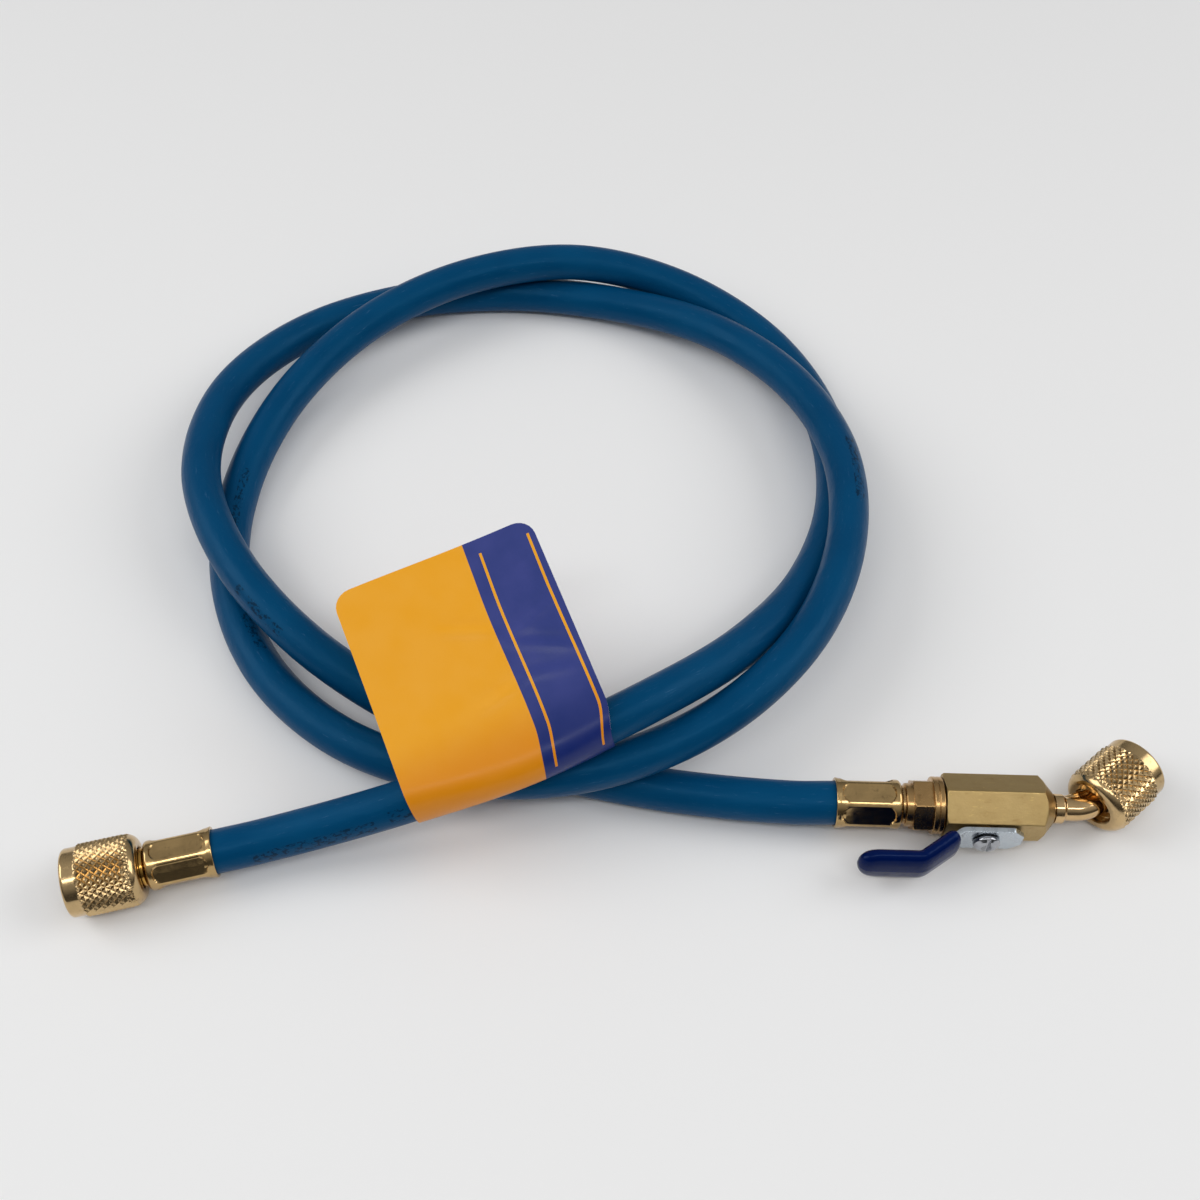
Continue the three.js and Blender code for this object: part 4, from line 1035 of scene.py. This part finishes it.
def swollen(half_width, half_thickness):
    """A dipped section: a rectangle swollen towards an oval, as points (across, out)"""
    ovalness = 0.85
    points = []
    for step in range(20):
        turn = math.pi / 2 * (step // 5 + step % 5 / 4)
        w, o = math.cos(turn), math.sin(turn)
        points.append((
            half_width * math.copysign(abs(w) ** ovalness, w),
            half_thickness * math.copysign(abs(o) ** ovalness, o),
        ))
    return points


def grip_section(half, along):
    """The dipped skin: rounder at its mouth and closing over the strip's tip"""
    thick = grip_thick * max(tip_share(grip_length - along, 3.5), 0.1)
    drawn_in = 0.55 * (1 - min((along - grip_mouth) / 1.6, 1)) ** 2
    return swollen(half - drawn_in, thick - drawn_in)


def pocket_section(half, along):
    return rounded_bar(half, plate_thickness / 2 + 0.06, 0.2)


def grip_width_at(along):
    return max(grip_half * tip_share(grip_length - along, grip_half), 0.4)


grip_outside = lofted(grip_line, grip_section, grip_width_at, grip_mouth)
grip_pocket = lofted(
    plate_line, pocket_section, lambda along: plate_width_at(along) + 0.06, grip_mouth + 0.02
)
grip = skin_over("dipped_grip", grip_pocket[::-1] + grip_outside, sharp=50)
vinyl = Finish(
    "dark_blue_dipped_vinyl", IOR=1.45, Specular_IOR_Level=0.18, Specular_Tint=seen(170, 205, 255)
)
vinyl_cloud = vinyl.speckle(vinyl.as_made(), 0.14, 3.0)
vinyl.feed(
    Base_Color=vinyl.blend(vinyl_cloud, seen(0, 14, 64), seen(0, 22, 78)),
    Roughness=vinyl.between(vinyl_cloud, 0.3, 0.7, 0.1, 0.18),
    Normal=vinyl.relief(vinyl_cloud, 0.00025),
)
grip.data.materials.append(vinyl.material)
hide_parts("lever_grip")

screw_top, slot_depth, slot_width, slot_length = 12.3, 0.9, 1.0, 8.0
screw_outline = softened([
    (5.4, 0.0), (5.4, 1.4, 0.2), (10.1, 1.4), (10.1, 3.5, 0.2), (11.1, 3.5, 0.6), (11.9, 2.5, 1.2),
    (screw_top, 0.0),
], 6)
screw = turned("lever_pan_screw", screw_outline, 64, across_valve)
slot_points = [
    across_valve(Vector((screw_top + slot_depth * out, slot_width / 2 * y, slot_length / 2 * z)))
    for out in (-1, 1) for y, z in ((-1, -1), (1, -1), (1, 1), (-1, 1))
]
slot_faces = [(0, 1, 2, 3), (4, 5, 6, 7), (0, 1, 5, 4), (1, 2, 6, 5), (2, 3, 7, 6), (3, 0, 4, 7)]
slot_cutter = piece_from("screw_slot", slot_points, slot_faces, [(0, 0, 0)] * 8)
bored(screw, [slot_cutter])
bright_steel = Finish("bright_screw_steel", Metallic=1.0)
screw_cloud = bright_steel.speckle(bright_steel.as_made(), 0.8, 4.0)
bright_steel.feed(
    Base_Color=bright_steel.blend(screw_cloud, seen(150, 152, 158), seen(190, 192, 196)),
    Roughness=bright_steel.between(screw_cloud, 0.3, 0.7, 0.1, 0.22),
)
screw.data.materials.append(bright_steel.material)
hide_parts("lever_screw")
for part_of_lever in (plate, grip, screw):
    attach(part_of_lever, "lever")

# Floor and light: a plain pale floor, a long soft light overhead towards the camera, a soft box at
# each side, and a room that is dark behind the camera and paler behind the hose, as the brass shows it.
floor_points = [(-3, -3, 0), (3, -3, 0), (3, 3, 0), (-3, 3, 0)]
floor = piece_from("floor", floor_points, [(0, 1, 2, 3)], floor_points)
pale = Finish("pale_floor", Roughness=0.7)
pale.feed(
    Base_Color=pale.blend(
        pale.node("ShaderNodeTexNoise", {}, {"Scale": 3.0}), seen(246, 246, 246), seen(249, 249, 249)
    )
)
floor.data.materials.append(pale.material)

for name, place, width, depth, watts in (
    ("key_bar", (0.0, -0.43, 1.08), 1.3, 0.15, 3.2),
    ("left_box", (-1.15, 0.15, 0.95), 0.9, 0.9, 6.4),
    ("right_box", (1.15, 0.15, 0.95), 0.9, 0.9, 5.6),
):
    lamp = bpy.data.lights.new(name, "AREA")
    lamp.shape = "RECTANGLE"
    lamp.size = width
    lamp.size_y = depth
    lamp.energy = watts
    light = bpy.data.objects.new(name, lamp)
    light.location = place
    light.rotation_euler = (Vector(place) - Vector((0, 0.05, 0))).to_track_quat("Z", "Y").to_euler()
    bpy.context.scene.collection.objects.link(light)

room = Finish("room", bpy.data.worlds)
bpy.context.scene.world = room.material
towards = room.node("ShaderNodeTexCoord")
to_back = room.node("ShaderNodeSeparateXYZ", {}, {0: towards}, "Y")
upward = room.node("ShaderNodeSeparateXYZ", {}, {0: towards}, "Z")
from_front = room.node("ShaderNodeMath", {"operation": "ARCTAN2"}, {0: upward, 1: -1 * to_back})
wall_tones = [(0, 0.07), (22, 0.08), (42, 0.3), (90, 0.5), (125, 0.4), (155, 0.3), (180, 0.16)]
room.feed(
    Color=room.node(
        "ShaderNodeValToRGB",
        {"stops": [(angle / 180, (tone, tone, tone, 1)) for angle, tone in wall_tones]},
        {0: from_front * (1 / math.pi)},
    )
)
bpy.context.scene.view_settings.view_transform = "Standard"
